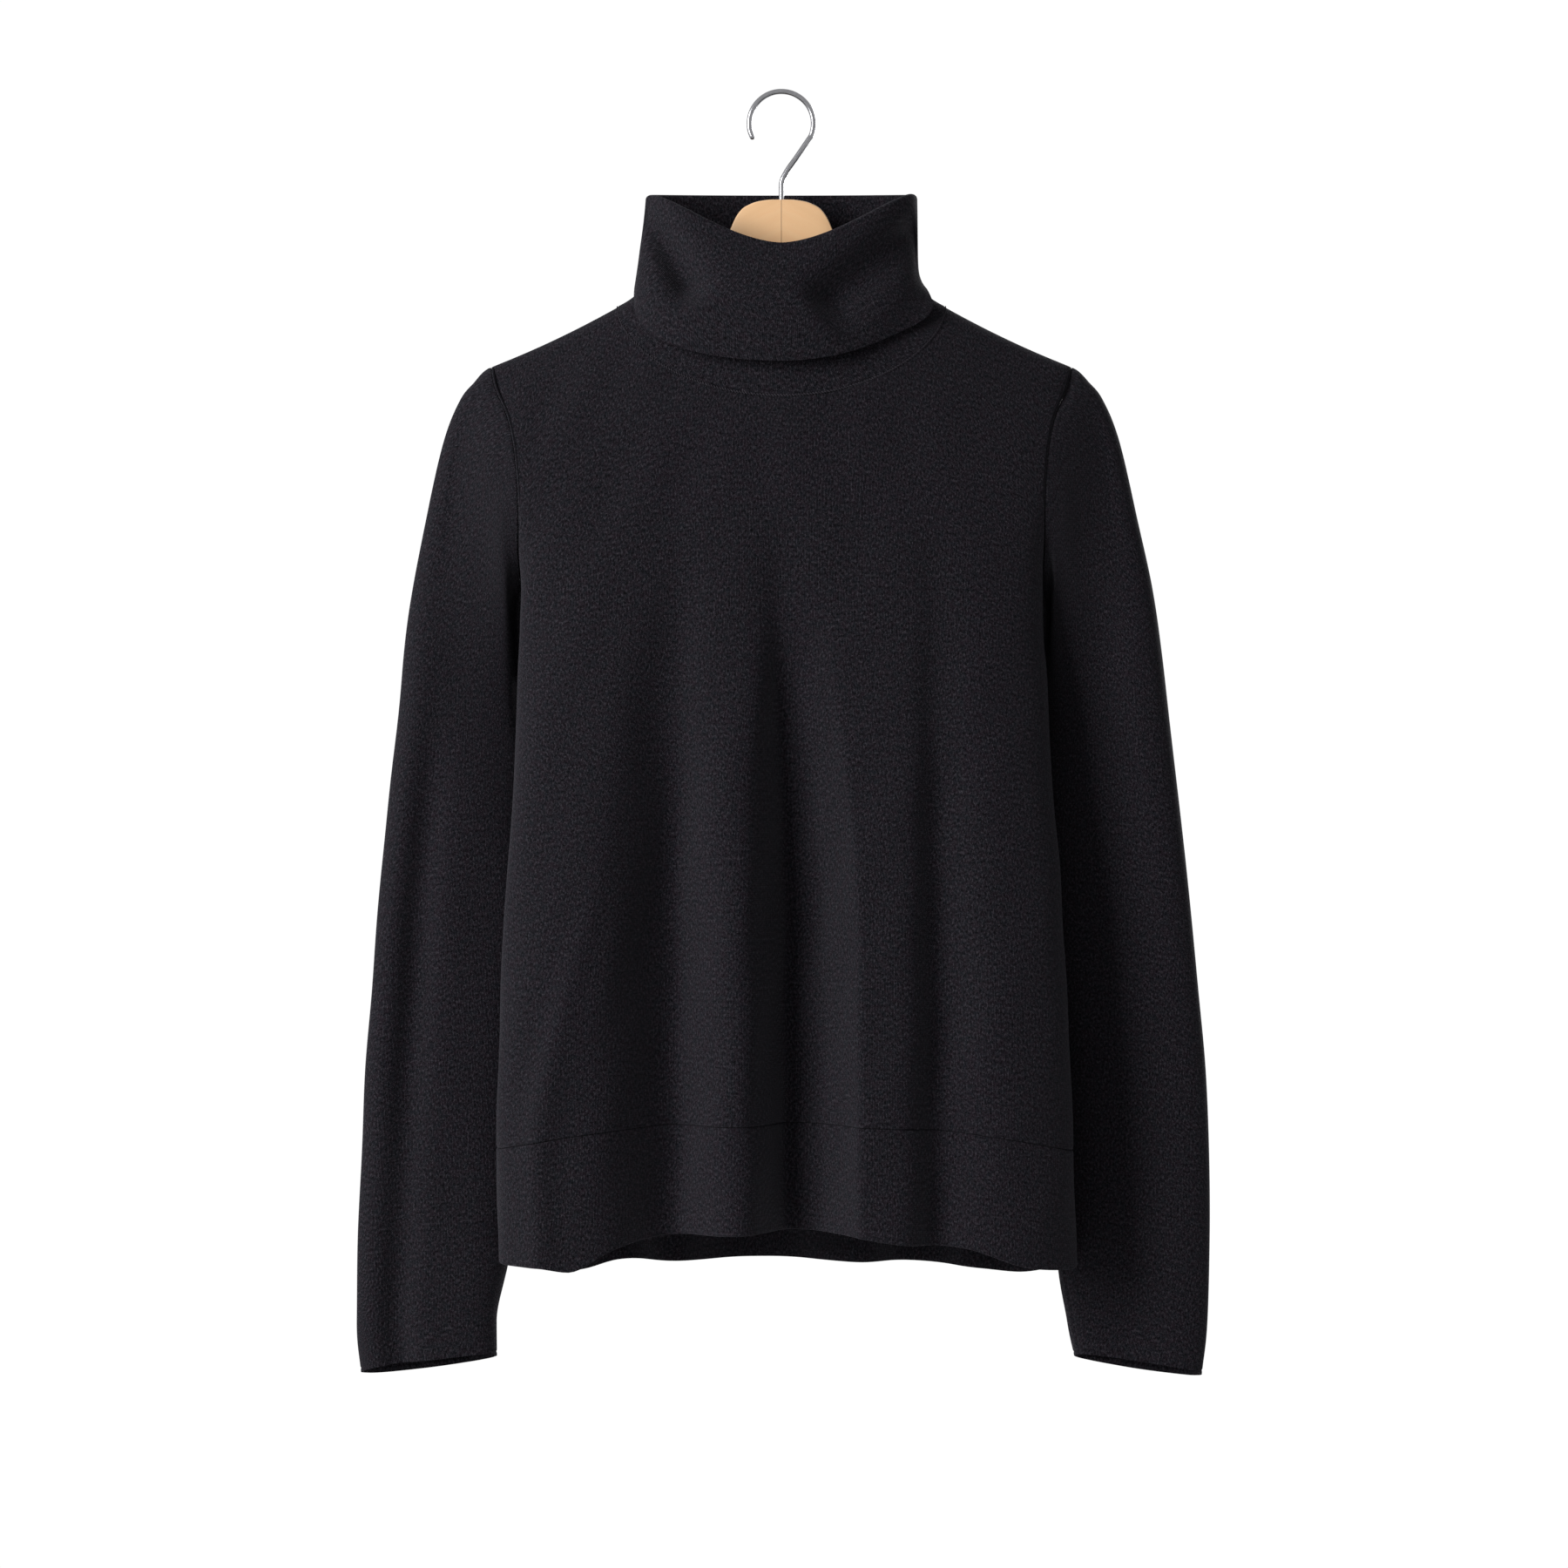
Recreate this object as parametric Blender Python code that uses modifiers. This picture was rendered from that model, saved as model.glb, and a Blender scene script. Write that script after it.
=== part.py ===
"""Turtleneck sweater hanging on a wooden hanger.

Metres, +Z up.  The origin is the underside of the hook's top arc, where a rail carries it.
The garment faces -Y, and +X is the viewer's right.  Heights are kept as `down`, the distance
below the origin.  An `angle` runs round the body: 0 at the centre of the front, 90 degrees at
the side and 180 at the centre of the back.
"""

import math

import bmesh
import bpy
import numpy as np

COLLECTION = "turtleneck_sweater"
FRONT = -1.0
BACK = 1.0

# Cloth
CLOTH = 0.0016            # one layer of the knit
BAND_CLOTH = 0.0024       # the doubled hem band
SEAM = 0.0003             # gap between two sewn pieces
BAND_SEAM = 0.0006        # between the two thick bands, at the sides
SLEEVE_SEAM = 0.0006      # at the armhole, where the sleeve turns down from the panel

# Neck and shoulders
NECK_HALF = 0.107         # half the width between the neck points
NECK_DOWN = 0.1395        # the neck points
NECK_DROP_FRONT = 0.0620  # how far the front neckline dips
NECK_DROP_BACK = 0.0180
NECK_POWER = 1.12         # 1 is an ellipse, more is a flatter U
RIDGE_FALL = 0.56         # slope of the shoulder at the neck
RIDGE_EASE = 1.05         # how it flattens outwards
SHOULDER_X = 0.1904       # armhole's top
RIDGE_RADIUS = 0.0078     # the cloth's bend over the hanger's arm

# The closed form that front and back are cut from.  left and right are its half widths, front
# and back its depths at the centre line.
FORM_COLUMNS = ("down", "left", "right", "front", "back")
FORM_ROWS = (
    (0.176, 0.2015, 0.2015, 0.0440, 0.0400),
    (0.194, 0.1990, 0.1985, 0.0455, 0.0410),
    (0.210, 0.1962, 0.1955, 0.0460, 0.0420),
    (0.228, 0.1922, 0.1918, 0.0460, 0.0430),
    (0.248, 0.1868, 0.1868, 0.0460, 0.0440),
    (0.2645, 0.1820, 0.1822, 0.0460, 0.0445),
    (0.285, 0.1755, 0.1758, 0.0460, 0.0450),
    (0.312, 0.1702, 0.1704, 0.0460, 0.0455),
    (0.348, 0.1699, 0.1704, 0.0475, 0.0460),
    (0.385, 0.1714, 0.1727, 0.0493, 0.0465),
    (0.451, 0.1745, 0.1762, 0.0515, 0.0475),
    (0.508, 0.1788, 0.1812, 0.0540, 0.0490),
    (0.565, 0.1815, 0.1847, 0.0570, 0.0510),
    (0.622, 0.1835, 0.1872, 0.0595, 0.0525),
    (0.679, 0.1852, 0.1894, 0.0610, 0.0535),
    (0.736, 0.1848, 0.1908, 0.0615, 0.0540),
    (0.775, 0.1828, 0.1916, 0.0615, 0.0540),
)
SECTION_POWERS = {FRONT: 4.6, BACK: 2.4}  # 2 is an ellipse, more has fuller sides
SPREAD = 0.050            # the drop below the ridge over which the cloth stands off the hanger
SIDE_START = 0.240        # the ridge's bend gives way to the rounded side between these
SIDE_FULL = 0.300

# Where the armhole and side seams cut the form, in degrees from the front's and the back's centre
SEAM_COLUMNS = ("down", "front", "back")
SEAM_ROWS = (
    (0.176, 71.0, 71.0),
    (0.194, 69.6, 69.6),
    (0.210, 66.0, 66.0),
    (0.228, 65.2, 65.0),
    (0.248, 66.9, 65.0),
    (0.2645, 69.6, 65.5),
    (0.285, 76.0, 64.0),
    (0.312, 88.0, 62.5),
    (0.340, 92.0, 62.0),
    (0.360, 95.5, 66.0),
    (0.377, 102.0, 78.0),
    (0.450, 102.0, 78.0),
)
BAND_ROW = 0.700          # where in that table the bands are read

# Hem and its band
BAND_TOP_MIDDLE = 0.671
BAND_TOP_SIDE = 0.0175    # how much lower the band's seam lies at the sides
HEM_COLUMNS = ("across", "front", "back")
HEM_ROWS = (
    (-0.195, 0.7612, 0.7612),
    (-0.158, 0.7612, 0.7700),
    (-0.138, 0.7640, 0.7735),
    (-0.110, 0.7510, 0.7680),
    (-0.080, 0.7440, 0.7665),
    (-0.045, 0.7415, 0.7670),
    (0.000, 0.7404, 0.7665),
    (0.045, 0.7420, 0.7670),
    (0.080, 0.7467, 0.7685),
    (0.120, 0.7500, 0.7715),
    (0.155, 0.7610, 0.7750),
    (0.195, 0.7650, 0.7650),
)

# Folds that run down to the hem: each starts soft at `start` and is full at `full`.  across is its
# place at both heights, left and right the reach of its banks, depth its depth (a ridge is
# negative), and crisp how sharply its right bank ends: 0 is a bell and 1 a crease.
# columns: start, full, across_start, across_full, left, right, depth, crisp
FRONT_FOLDS = (
    (0.240, 0.600, -0.0680, -0.0710, 0.0320, 0.0250, 0.0370, 0.0),
    (0.260, 0.560, 0.0000, 0.0060, 0.0185, 0.0440, 0.0430, 0.8),
    (0.260, 0.620, 0.0980, 0.1000, 0.0130, 0.0240, 0.0170, 0.0),
    (0.440, 0.690, -0.1080, -0.1560, 0.0100, 0.0110, -0.0060, 0.0),
)
BACK_FOLDS = (
    (0.330, 0.700, -0.0600, -0.0700, 0.0230, 0.0250, 0.0260, 0.0),
    (0.300, 0.680, 0.0420, 0.0500, 0.0340, 0.0220, 0.0300, 0.0),
    (0.400, 0.700, 0.1220, 0.1260, 0.0130, 0.0150, 0.0100, 0.0),
    (0.430, 0.700, -0.1300, -0.1380, 0.0130, 0.0130, 0.0080, 0.0),
)

# Sleeves: the outline's outer and inner edges, from the armhole to the cuff
SLEEVE_COLUMNS = (
    "outer_left", "outer_right", "outer_down", "inner_left", "inner_right", "inner_down",
    "outer_y", "inner_y", "depth",
)
SLEEVE_ROWS = (
    (0.1904, 0.1904, 0.1779, 0.1672, 0.1672, 0.3770, 0.0000, 0.0140, 0.0260),
    (0.1952, 0.1951, 0.1811, 0.1676, 0.1676, 0.3787, 0.0002, 0.0155, 0.0261),
    (0.2010, 0.2008, 0.1874, 0.1680, 0.1680, 0.3805, 0.0005, 0.0170, 0.0262),
    (0.2106, 0.2098, 0.1990, 0.1688, 0.1688, 0.3850, 0.0012, 0.0195, 0.0262),
    (0.2211, 0.2203, 0.2257, 0.1685, 0.1685, 0.3920, 0.0031, 0.0224, 0.0258),
    (0.2330, 0.2326, 0.2790, 0.1669, 0.1671, 0.4030, 0.0069, 0.0273, 0.0237),
    (0.2420, 0.2428, 0.3230, 0.1656, 0.1662, 0.4190, 0.0105, 0.0306, 0.0220),
    (0.2486, 0.2496, 0.3650, 0.1643, 0.1653, 0.4400, 0.0135, 0.0318, 0.0218),
    (0.2542, 0.2560, 0.4172, 0.1652, 0.1667, 0.4720, 0.0165, 0.0320, 0.0213),
    (0.2640, 0.2665, 0.5084, 0.1683, 0.1712, 0.5400, 0.0200, 0.0318, 0.0202),
    (0.2705, 0.2740, 0.5840, 0.1710, 0.1790, 0.6050, 0.0215, 0.0312, 0.0191),
    (0.2757, 0.2797, 0.6509, 0.1730, 0.1823, 0.6660, 0.0223, 0.0306, 0.0180),
    (0.2795, 0.2822, 0.7450, 0.1784, 0.1820, 0.7540, 0.0225, 0.0288, 0.0161),
    (0.2800, 0.2812, 0.8060, 0.1882, 0.1888, 0.8060, 0.0227, 0.0265, 0.0139),
    (0.2772, 0.2775, 0.8400, 0.1880, 0.1935, 0.8290, 0.0230, 0.0255, 0.0126),
)
SLEEVE_FLAT = 4.0         # 2 is an ellipse, more is a flatter ring
SLEEVE_SWING = {"left": 0.0020, "right": -0.0090}  # how far back the outer edge hangs
CUFF_TILT = 0.30          # how much lower the cuff's back lies than its front, for each metre back
ARMHOLE_REACH = 0.130     # length of sleeve over which the armhole's shape fades
# The long soft dent of each sleeve, in degrees round it from its outer edge, and its depth
# columns: shoulder, cuff, half, depth
SLEEVE_DENTS = {
    "left": ((62.0, 66.0, 14.0, 0.0085), (285.0, 270.0, 30.0, 0.0040)),
    "right": ((112.0, 106.0, 30.0, 0.0035), (262.0, 280.0, 28.0, 0.0040)),
}

# Collar.  The top fold sags in front; the turned-down layer ends at the edge loop.
FOLD_HALF = 0.0860
FOLD_FRONT = 0.0400
FOLD_BACK = 0.0250
FOLD_DOWN_SIDE = 0.0695
FOLD_DOWN_BACK = 0.0653
FOLD_SAG = 0.0362
FOLD_PINCH = 0.75         # above 1 the fold is narrower at its sides than an ellipse
FOLD_BEND = 0.0021        # radius of the fold's middle line
EDGE_LEFT = 0.0955
EDGE_RIGHT = 0.0915
EDGE_FRONT = 0.0500
EDGE_BACK = 0.0420
EDGE_DOWN_SIDE = 0.1270
EDGE_DOWN_FRONT = 0.1800
EDGE_DOWN_BACK = 0.1480
FLARE_LEFT = 1.2          # 1 widens evenly from the fold to the edge, more widens late
FLARE_RIGHT = 9.0
COLLAR_BULGE = 0.0080     # how far the turned-down layer swells between fold and edge
EDGE_KICK = 0.0110        # how far the edge's right front corner stands out
EDGE_KICK_AT = 69.0       # its place, in degrees from the front
EDGE_KICK_HALF = 17.0
EDGE_PRESS = 0.0090       # how much the edge's right front leans back to the shoulder
EDGE_PRESS_AT = 62.0
EDGE_PRESS_HALF = 26.0
EDGE_FALL = 0.62          # how fast the edge drops away from the sides
EDGE_FALL_RIGHT = 1.00    # and in front on the right
EDGE_SQUARE = 0.50        # below 1 the edge loop has fuller corners
TUBE_LEAN = 6.5           # how early the neck tube narrows above its seam
TUBE_START = 1.5          # spacing of its rings, closer together at the seam
NECK_CROWD = 1.8          # spacing of the columns round the neck, closer at the neck points
# Dents of the collar's front, each along a line from its start to its end.  The neck tube behind
# takes only a share of them.
TUBE_DENT = 0.60
DENT_REACH = (0.014, 0.020) # how far in front of the sides they are full, left and right
# columns: x0, down0, x1, down1, half above the line, half below it, depth
COLLAR_DENTS = (
    (-0.0935, 0.0660, -0.0560, 0.1380, 0.0110, 0.0115, 0.0165),
    (0.0930, 0.0860, 0.0250, 0.1450, 0.0150, 0.0225, 0.0165),
)

# Hanger: half of it, from the centre joint to the tip
# columns: across, top, bottom, thick
HANGER_ROWS = (
    (0.00015, 0.0695, 0.1180, 0.0110),
    (0.0100, 0.0699, 0.1186, 0.0110),
    (0.0200, 0.0724, 0.1204, 0.0110),
    (0.0262, 0.0763, 0.1222, 0.0110),
    (0.0300, 0.0815, 0.1236, 0.0110),
    (0.0335, 0.0892, 0.1250, 0.0110),
    (0.0370, 0.0975, 0.1266, 0.0110),
    (0.0420, 0.1062, 0.1292, 0.0110),
    (0.0520, 0.1126, 0.1348, 0.0110),
    (0.0750, 0.1250, 0.1484, 0.0110),
    (0.1070, 0.1418, 0.1654, 0.0110),
    (0.1400, 0.1591, 0.1822, 0.0110),
    (0.1700, 0.1730, 0.1950, 0.0110),
    (0.1830, 0.1786, 0.1996, 0.0110),
    (0.1905, 0.1830, 0.1996, 0.0092),
    (0.1940, 0.1868, 0.1970, 0.0060),
)
HOOK_WIRE = 0.0035
HOOK_RADIUS = 0.0210      # the bow's middle line
HOOK_JOIN = -23.0         # where the slanted leg meets the bow, in degrees from +X
HOOK_TIP = 205.0          # where the bow ends
HOOK_KNEE_DOWN = 0.0545   # the bend between the upright shank and the slanted leg
HOOK_SEAT = 0.0200        # how deep the shank sits in the head
HOOK_CLEAR = 0.0003
CUTTER_REACH = 0.12       # how far the neck's cutters reach to the front and to the back

# Mesh steps
PANEL_CELLS_FRONT = 26
PANEL_CELLS_BACK = 20
PANEL_EDGE_SHARES = (1.0, 0.990, 0.950)
PANEL_INNER_SHARE = 0.890
NECK_CELLS_FRONT = 26
NECK_CELLS_BACK = 18
RIDGE_TURNS = (0.0, 6.0, 27.0, 48.0, 69.0, 90.0)
ARMHOLE_DROPS = (0.019, 0.034, 0.052, 0.074, 0.100, 0.128, 0.155, 0.176, 0.190, 0.1991)
BODY_CELLS = 8
BAND_CELLS = 3
SLEEVE_CELLS = 20
TUBE_CELLS = 6
FOLD_CELLS = 4
LAYER_CELLS = 9


def column(rows, names, name):
    """One named column of a table."""
    return np.array(rows)[:, names.index(name)]


def smooth(knots, values, at):
    """Cubic Hermite curve through a table.

    Each knot's slope is the weighted mean of its two sides, or level where the table turns back.
    """
    knots = np.asarray(knots, float)
    values = np.asarray(values, float)
    steps = np.diff(knots)
    rises = np.diff(values) / steps
    slopes = np.empty_like(values)
    slopes[0] = rises[0]
    slopes[-1] = rises[-1]
    mean = (rises[:-1] * steps[1:] + rises[1:] * steps[:-1]) / (steps[:-1] + steps[1:])
    slopes[1:-1] = np.where(rises[:-1] * rises[1:] > 0.0, mean, 0.0)
    at = np.clip(at, knots[0], knots[-1])
    cell = np.clip(np.searchsorted(knots, at) - 1, 0, len(steps) - 1)
    t = (at - knots[cell]) / steps[cell]
    rest = 1.0 - t
    start = values[cell] * rest + (slopes[cell] - rises[cell]) * steps[cell] * t * rest * rest
    end = values[cell + 1] * t - (slopes[cell + 1] - rises[cell]) * steps[cell] * t * t * rest
    return start + end


def ease(t):
    """0 to 1 with level ends."""
    t = np.clip(t, 0.0, 1.0)
    return t * t * (3.0 - 2.0 * t)


def read(rows, names, name, at):
    """A named column, read smoothly at distances along the table's first column."""
    return smooth(column(rows, names, names[0]), column(rows, names, name), at)


# ---------------------------------------------------------------- the body's form

def ridge(across):
    """The shoulder line's `down`: it falls from the neck point and flattens towards the sleeve."""
    out = np.abs(across) - NECK_HALF
    return NECK_DOWN + RIDGE_FALL * out - RIDGE_EASE * out * out


def neckline(angle, drop):
    """The neckline's `down` at an angle round the neck: a U from neck point to neck point."""
    return NECK_DOWN + drop * np.clip(np.cos(angle), 0.0, 1.0) ** NECK_POWER


def folds(rows, across, down):
    """Depth of a panel's folds: a bell across each, growing down its length.

    A crisp right bank turns into a parabola on its way down, which meets the panel in a crease.
    """
    depth = np.zeros_like(across)
    for start, full, across_start, across_full, left, right, deep, crisp in rows:
        grown = ease((down - start) / (full - start))
        middle = across_start + (across_full - across_start) * grown
        off = (across - middle) / (0.6 + 0.4 * grown)
        reach = np.where(off < 0.0, left, right)
        bell = np.exp(-(off / reach) ** 2)
        bowl = np.clip(1.0 - (off / reach) ** 2, 0.0, 1.0)
        depth += deep * grown * np.where(off > 0.0, bell + (bowl - bell) * crisp * grown, bell)
    return depth


def body_point(angle, down):
    """The body's outer surface.

    Across, the section is a superellipse of the table's half widths.  Its depth is the bend over
    the hanger's arm, a quarter circle, and then a rise that fades in with the drop below the
    ridge.  Folds lie on top of it.
    """
    angle = np.asarray(angle, float) + 0.0 * down
    down = np.asarray(down, float) + 0.0 * angle
    sine = np.sin(angle)
    left = read(FORM_ROWS, FORM_COLUMNS, "left", down)
    right = read(FORM_ROWS, FORM_COLUMNS, "right", down)
    across = sine * np.where(sine < 0.0, left, right)
    drop = np.clip(down - ridge(across), 0.0, None)
    bend = RIDGE_RADIUS * np.sqrt(1.0 - (1.0 - np.minimum(drop / RIDGE_RADIUS, 1.0)) ** 2)
    is_front = np.abs(angle) <= math.pi / 2
    power = np.where(is_front, SECTION_POWERS[FRONT], SECTION_POWERS[BACK])
    round_off = (1.0 - np.minimum(np.abs(sine), 1.0) ** power) ** (1.0 / power)
    side = ease((down - SIDE_START) / (SIDE_FULL - SIDE_START))
    front = read(FORM_ROWS, FORM_COLUMNS, "front", down)
    back = read(FORM_ROWS, FORM_COLUMNS, "back", down)
    full = np.where(is_front, front, back) - RIDGE_RADIUS
    depth = bend * (1.0 - side + side * round_off)
    depth = depth + full * round_off * (1.0 - np.exp(-drop / SPREAD))
    fold = np.where(is_front, folds(FRONT_FOLDS, across, down), folds(BACK_FOLDS, across, down))
    depth = depth - fold * round_off ** 0.5
    y = np.where(is_front, FRONT, BACK) * depth
    return np.stack([across, y, -down], axis=-1)


def seam_angle(face, down):
    """Where the armhole or side seam cuts the form, as an angle from the face's own centre."""
    name = "front" if face == FRONT else "back"
    return np.radians(read(SEAM_ROWS, SEAM_COLUMNS, name, down))


def face_point(face, turn, down):
    """A point of the front or back, `turn` being the angle from that face's own centre."""
    angle = turn if face == FRONT else math.pi - turn
    angle = np.where(angle > math.pi, angle - 2.0 * math.pi, angle)
    return body_point(angle, down)


def hem_down(face, across):
    """The hem's `down` at a place across."""
    return read(HEM_ROWS, HEM_COLUMNS, "front" if face == FRONT else "back", across)


def band_top(across):
    """The `down` of the seam between panel and hem band."""
    return BAND_TOP_MIDDLE + BAND_TOP_SIDE * (np.abs(across) / 0.19) ** 3


# ---------------------------------------------------------------- grids of the cut pieces

def turn_at(across, down):
    """The angle at which the body's surface lies at a place across."""
    side = np.where(across < 0.0, -1.0, 1.0)
    left = read(FORM_ROWS, FORM_COLUMNS, "left", down)
    right = read(FORM_ROWS, FORM_COLUMNS, "right", down)
    half = np.where(across < 0.0, left, right)
    return side * np.arcsin(np.clip(np.abs(across) / half, 0.0, 1.0))


def column_shares(face):
    """Where the columns stand, from -1 at one side edge to 1 at the other, closest at the edges."""
    cells = PANEL_CELLS_FRONT if face == FRONT else PANEL_CELLS_BACK
    edge = np.array(PANEL_EDGE_SHARES)
    inner = np.linspace(-PANEL_INNER_SHARE, PANEL_INNER_SHARE, cells + 1)
    return np.concatenate([-edge, inner, edge[::-1]])


def column_turns(face):
    """Each column's share of the edge's angle at the ridge and at the hem.

    At the ridge the columns are spaced across; at the hem they are spaced along the cloth, folds
    included.
    """
    shares = column_shares(face)
    ridge_down = np.full_like(shares, FORM_ROWS[0][0])
    top = turn_at(shares * SHOULDER_X, ridge_down) / seam_angle(face, FORM_ROWS[0][0])
    low_edge = seam_angle(face, BAND_ROW)
    fine = np.linspace(-low_edge, low_edge, 1601)
    path = face_point(face, fine, np.full_like(fine, BAND_ROW))
    length = np.concatenate([[0.0], np.cumsum(np.linalg.norm(np.diff(path, axis=0), axis=1))])
    low = np.interp((shares + 1.0) / 2.0 * length[-1], length, fine)
    return top, low / low_edge


def row_drops():
    """Each row's drop below the ridge, down to the underarm."""
    turns = np.radians(RIDGE_TURNS)
    return np.concatenate([RIDGE_RADIUS * (1.0 - np.cos(turns)), ARMHOLE_DROPS])


def panel_points(face):
    """Rows and columns of a front or back panel's outer surface, before its neck is cut.

    The rows start along the ridge, carried on over the neck, and level out by the underarm.
    Then they run down to the hem band's seam, whose curve the lower rows take up little by little.
    """
    top, low = column_turns(face)
    start = ridge(column_shares(face) * SHOULDER_X)
    drops = row_drops()
    level = ease(np.linspace(0.0, 1.0, len(drops) - len(RIDGE_TURNS) + 1))
    level = np.concatenate([np.zeros(len(RIDGE_TURNS) - 1), level])[:, None]
    down = start[None, :] * (1.0 - level) + ridge(SHOULDER_X) * level + drops[:, None]
    turn_share = top[None, :] * (1.0 - level) + low[None, :] * level
    lower = np.linspace(0.0, 1.0, BODY_CELLS + 1)[1:, None]
    target = band_top(band_across(face))
    lower_down = down[-1] * (1.0 - lower) + target * lower
    down = np.concatenate([down, lower_down])
    turn_share = np.concatenate([turn_share, np.repeat(low[None, :], BODY_CELLS, axis=0)])
    edge_down = np.repeat(down[:, :1], down.shape[1], axis=1)
    points = face_point(face, turn_share * seam_angle(face, edge_down), down)
    points[0, :, 1] = 0.0
    return points


def band_across(face):
    """Each column's place across at the band's seam."""
    low = column_turns(face)[1]
    return face_point(face, low * seam_angle(face, BAND_ROW), np.full_like(low, BAND_TOP_MIDDLE))[:, 0]


def part_at_seams(points, face):
    """Leave half a seam between front and back at the shoulders and down the sides."""
    moved = points.copy()
    half = SEAM / 2
    near_ridge = np.abs(moved[:, :, 1]) < half
    moved[:, :, 1] = np.where(near_ridge, face * half, moved[:, :, 1])
    return moved


def band_points(face):
    """Rows and columns of a hem band, from just below its seam to the hem."""
    turn = column_turns(face)[1] * seam_angle(face, BAND_ROW)
    across = band_across(face)
    start = band_top(across) + SEAM
    end = hem_down(face, across)
    share = np.linspace(0.0, 1.0, BAND_CELLS + 1)[:, None]
    return face_point(face, turn[None, :], start * (1.0 - share) + end * share)


def side_gap(points, gap):
    """Draw a panel's two side edges back along its rows by half a gap."""
    moved = points.copy()
    for edge, inner in ((0, 1), (-1, -2)):
        along = points[:, inner] - points[:, edge]
        along /= np.linalg.norm(along, axis=1, keepdims=True)
        moved[:, edge] += along * gap / 2
    return moved


# ---------------------------------------------------------------- sleeves

def armhole_loop(side):
    """The closed loop where a sleeve meets the body, from the shoulder down the front and up the back."""
    rows = len(row_drops())
    edge = 0 if side < 0 else -1
    front_edge = panel_points(FRONT)[:rows, edge]
    back_edge = panel_points(BACK)[:rows, edge]
    loop = np.concatenate([front_edge, back_edge[-2:0:-1]])
    return loop + np.array([side * SLEEVE_SEAM, 0.0, 0.0])


def sleeve_ring(side, share, angle):
    """A flattened ring round the sleeve, between its outer and inner edges.

    Position = middle + half the width * cosine, and towards the front the depth * the root of
    1 less a power of the cosine.
    """
    reach = np.linspace(0.0, 1.0, len(SLEEVE_ROWS))
    values = {}
    for name in SLEEVE_COLUMNS:
        values[name] = smooth(reach, column(SLEEVE_ROWS, SLEEVE_COLUMNS, name), share)
    hand = "left" if side < 0 else "right"
    outer_x = side * values["outer_" + hand]
    inner_x = side * values["inner_" + hand]
    outer_y = values["outer_y"] + SLEEVE_SWING[hand] * ease(share / 0.5)
    outer = np.stack([outer_x, outer_y, -values["outer_down"]], axis=-1)
    inner = np.stack([inner_x, values["inner_y"], -values["inner_down"]], axis=-1)
    middle = (outer + inner) / 2
    half = (outer - inner) / 2
    flatness = np.clip(1.0 - np.abs(np.cos(angle)) ** SLEEVE_FLAT, 0.0, 1.0) ** 0.5
    rise = values["depth"] * np.sign(np.sin(angle)) * flatness
    points = middle + half * np.cos(angle)[..., None]
    points[..., 1] -= rise
    points[..., 2] += CUFF_TILT * rise * ease((share - 0.8) / 0.2)
    return points


def sleeve_points(side):
    """Rings of a sleeve from the armhole to the cuff; the last column repeats the first."""
    loop = armhole_loop(side)
    count = len(loop)
    angle = np.linspace(0.0, 2.0 * math.pi, count + 1)[:-1]
    share = np.linspace(0.0, 1.0, SLEEVE_CELLS + 1)[:, None]
    rings = sleeve_ring(side, share, np.repeat(angle[None, :], SLEEVE_CELLS + 1, axis=0))
    middle = rings.mean(axis=1)
    run = np.concatenate([[0.0], np.cumsum(np.linalg.norm(np.diff(middle, axis=0), axis=1))])
    keep = 1.0 - ease(run / ARMHOLE_REACH)
    rings = rings + keep[:, None, None] * (loop - rings[0])[None, :, :]
    name = "left" if side < 0 else "right"
    centre = rings.mean(axis=1, keepdims=True)
    degrees = np.degrees(angle)[None, :]
    for shoulder, cuff, half, depth in SLEEVE_DENTS[name]:
        place = shoulder + (cuff - shoulder) * share
        grown = ease((run - 0.09) / 0.16) * (1.0 - 0.55 * ease((run - 0.50) / 0.16))
        amount = depth * grown[:, None] * np.exp(-((degrees - place) / half) ** 2)
        inward = np.sign(centre[..., 1] - rings[..., 1])
        rings[..., 1] += amount * inward
    return np.concatenate([rings, rings[:, :1]], axis=1)


# ---------------------------------------------------------------- collar

def neck_angles(cells):
    """Angles from neck point to neck point, closer together at the neck points."""
    away = np.linspace(0.0, 1.0, cells // 2 + 1) ** NECK_CROWD
    quarter = math.pi / 2 * (1.0 - away)
    return np.concatenate([-quarter[:-1], quarter[::-1]])


def collar_angles():
    """Angles round the whole neck, the front and then the back."""
    return np.concatenate([neck_angles(NECK_CELLS_FRONT), math.pi + neck_angles(NECK_CELLS_BACK)[1:]])


def neck_seam(angle):
    """The neckline seam's points on the body's surface."""
    is_front = np.cos(angle) >= -1e-9
    own = np.where(is_front, angle, math.pi - angle)
    down = neckline(own, np.where(is_front, NECK_DROP_FRONT, NECK_DROP_BACK))
    turn = turn_at(NECK_HALF * np.sin(own), down)
    points = np.where(is_front[:, None], face_point(FRONT, turn, down), face_point(BACK, turn, down))
    points[:, 1] = np.where(np.abs(np.cos(angle)) < 1e-9, 0.0, points[:, 1])
    return points


def loop_point(angle, left, right, front, back, power, down):
    """A level or sagging loop: half widths left and right, depths front and back."""
    sine = np.sin(angle)
    cosine = np.cos(angle)
    x = sine * np.where(sine < 0.0, left, right)
    y = -np.sign(cosine) * np.abs(cosine) ** power * np.where(cosine > 0.0, front, back)
    return np.stack([x, y, -down], axis=-1)


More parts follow.
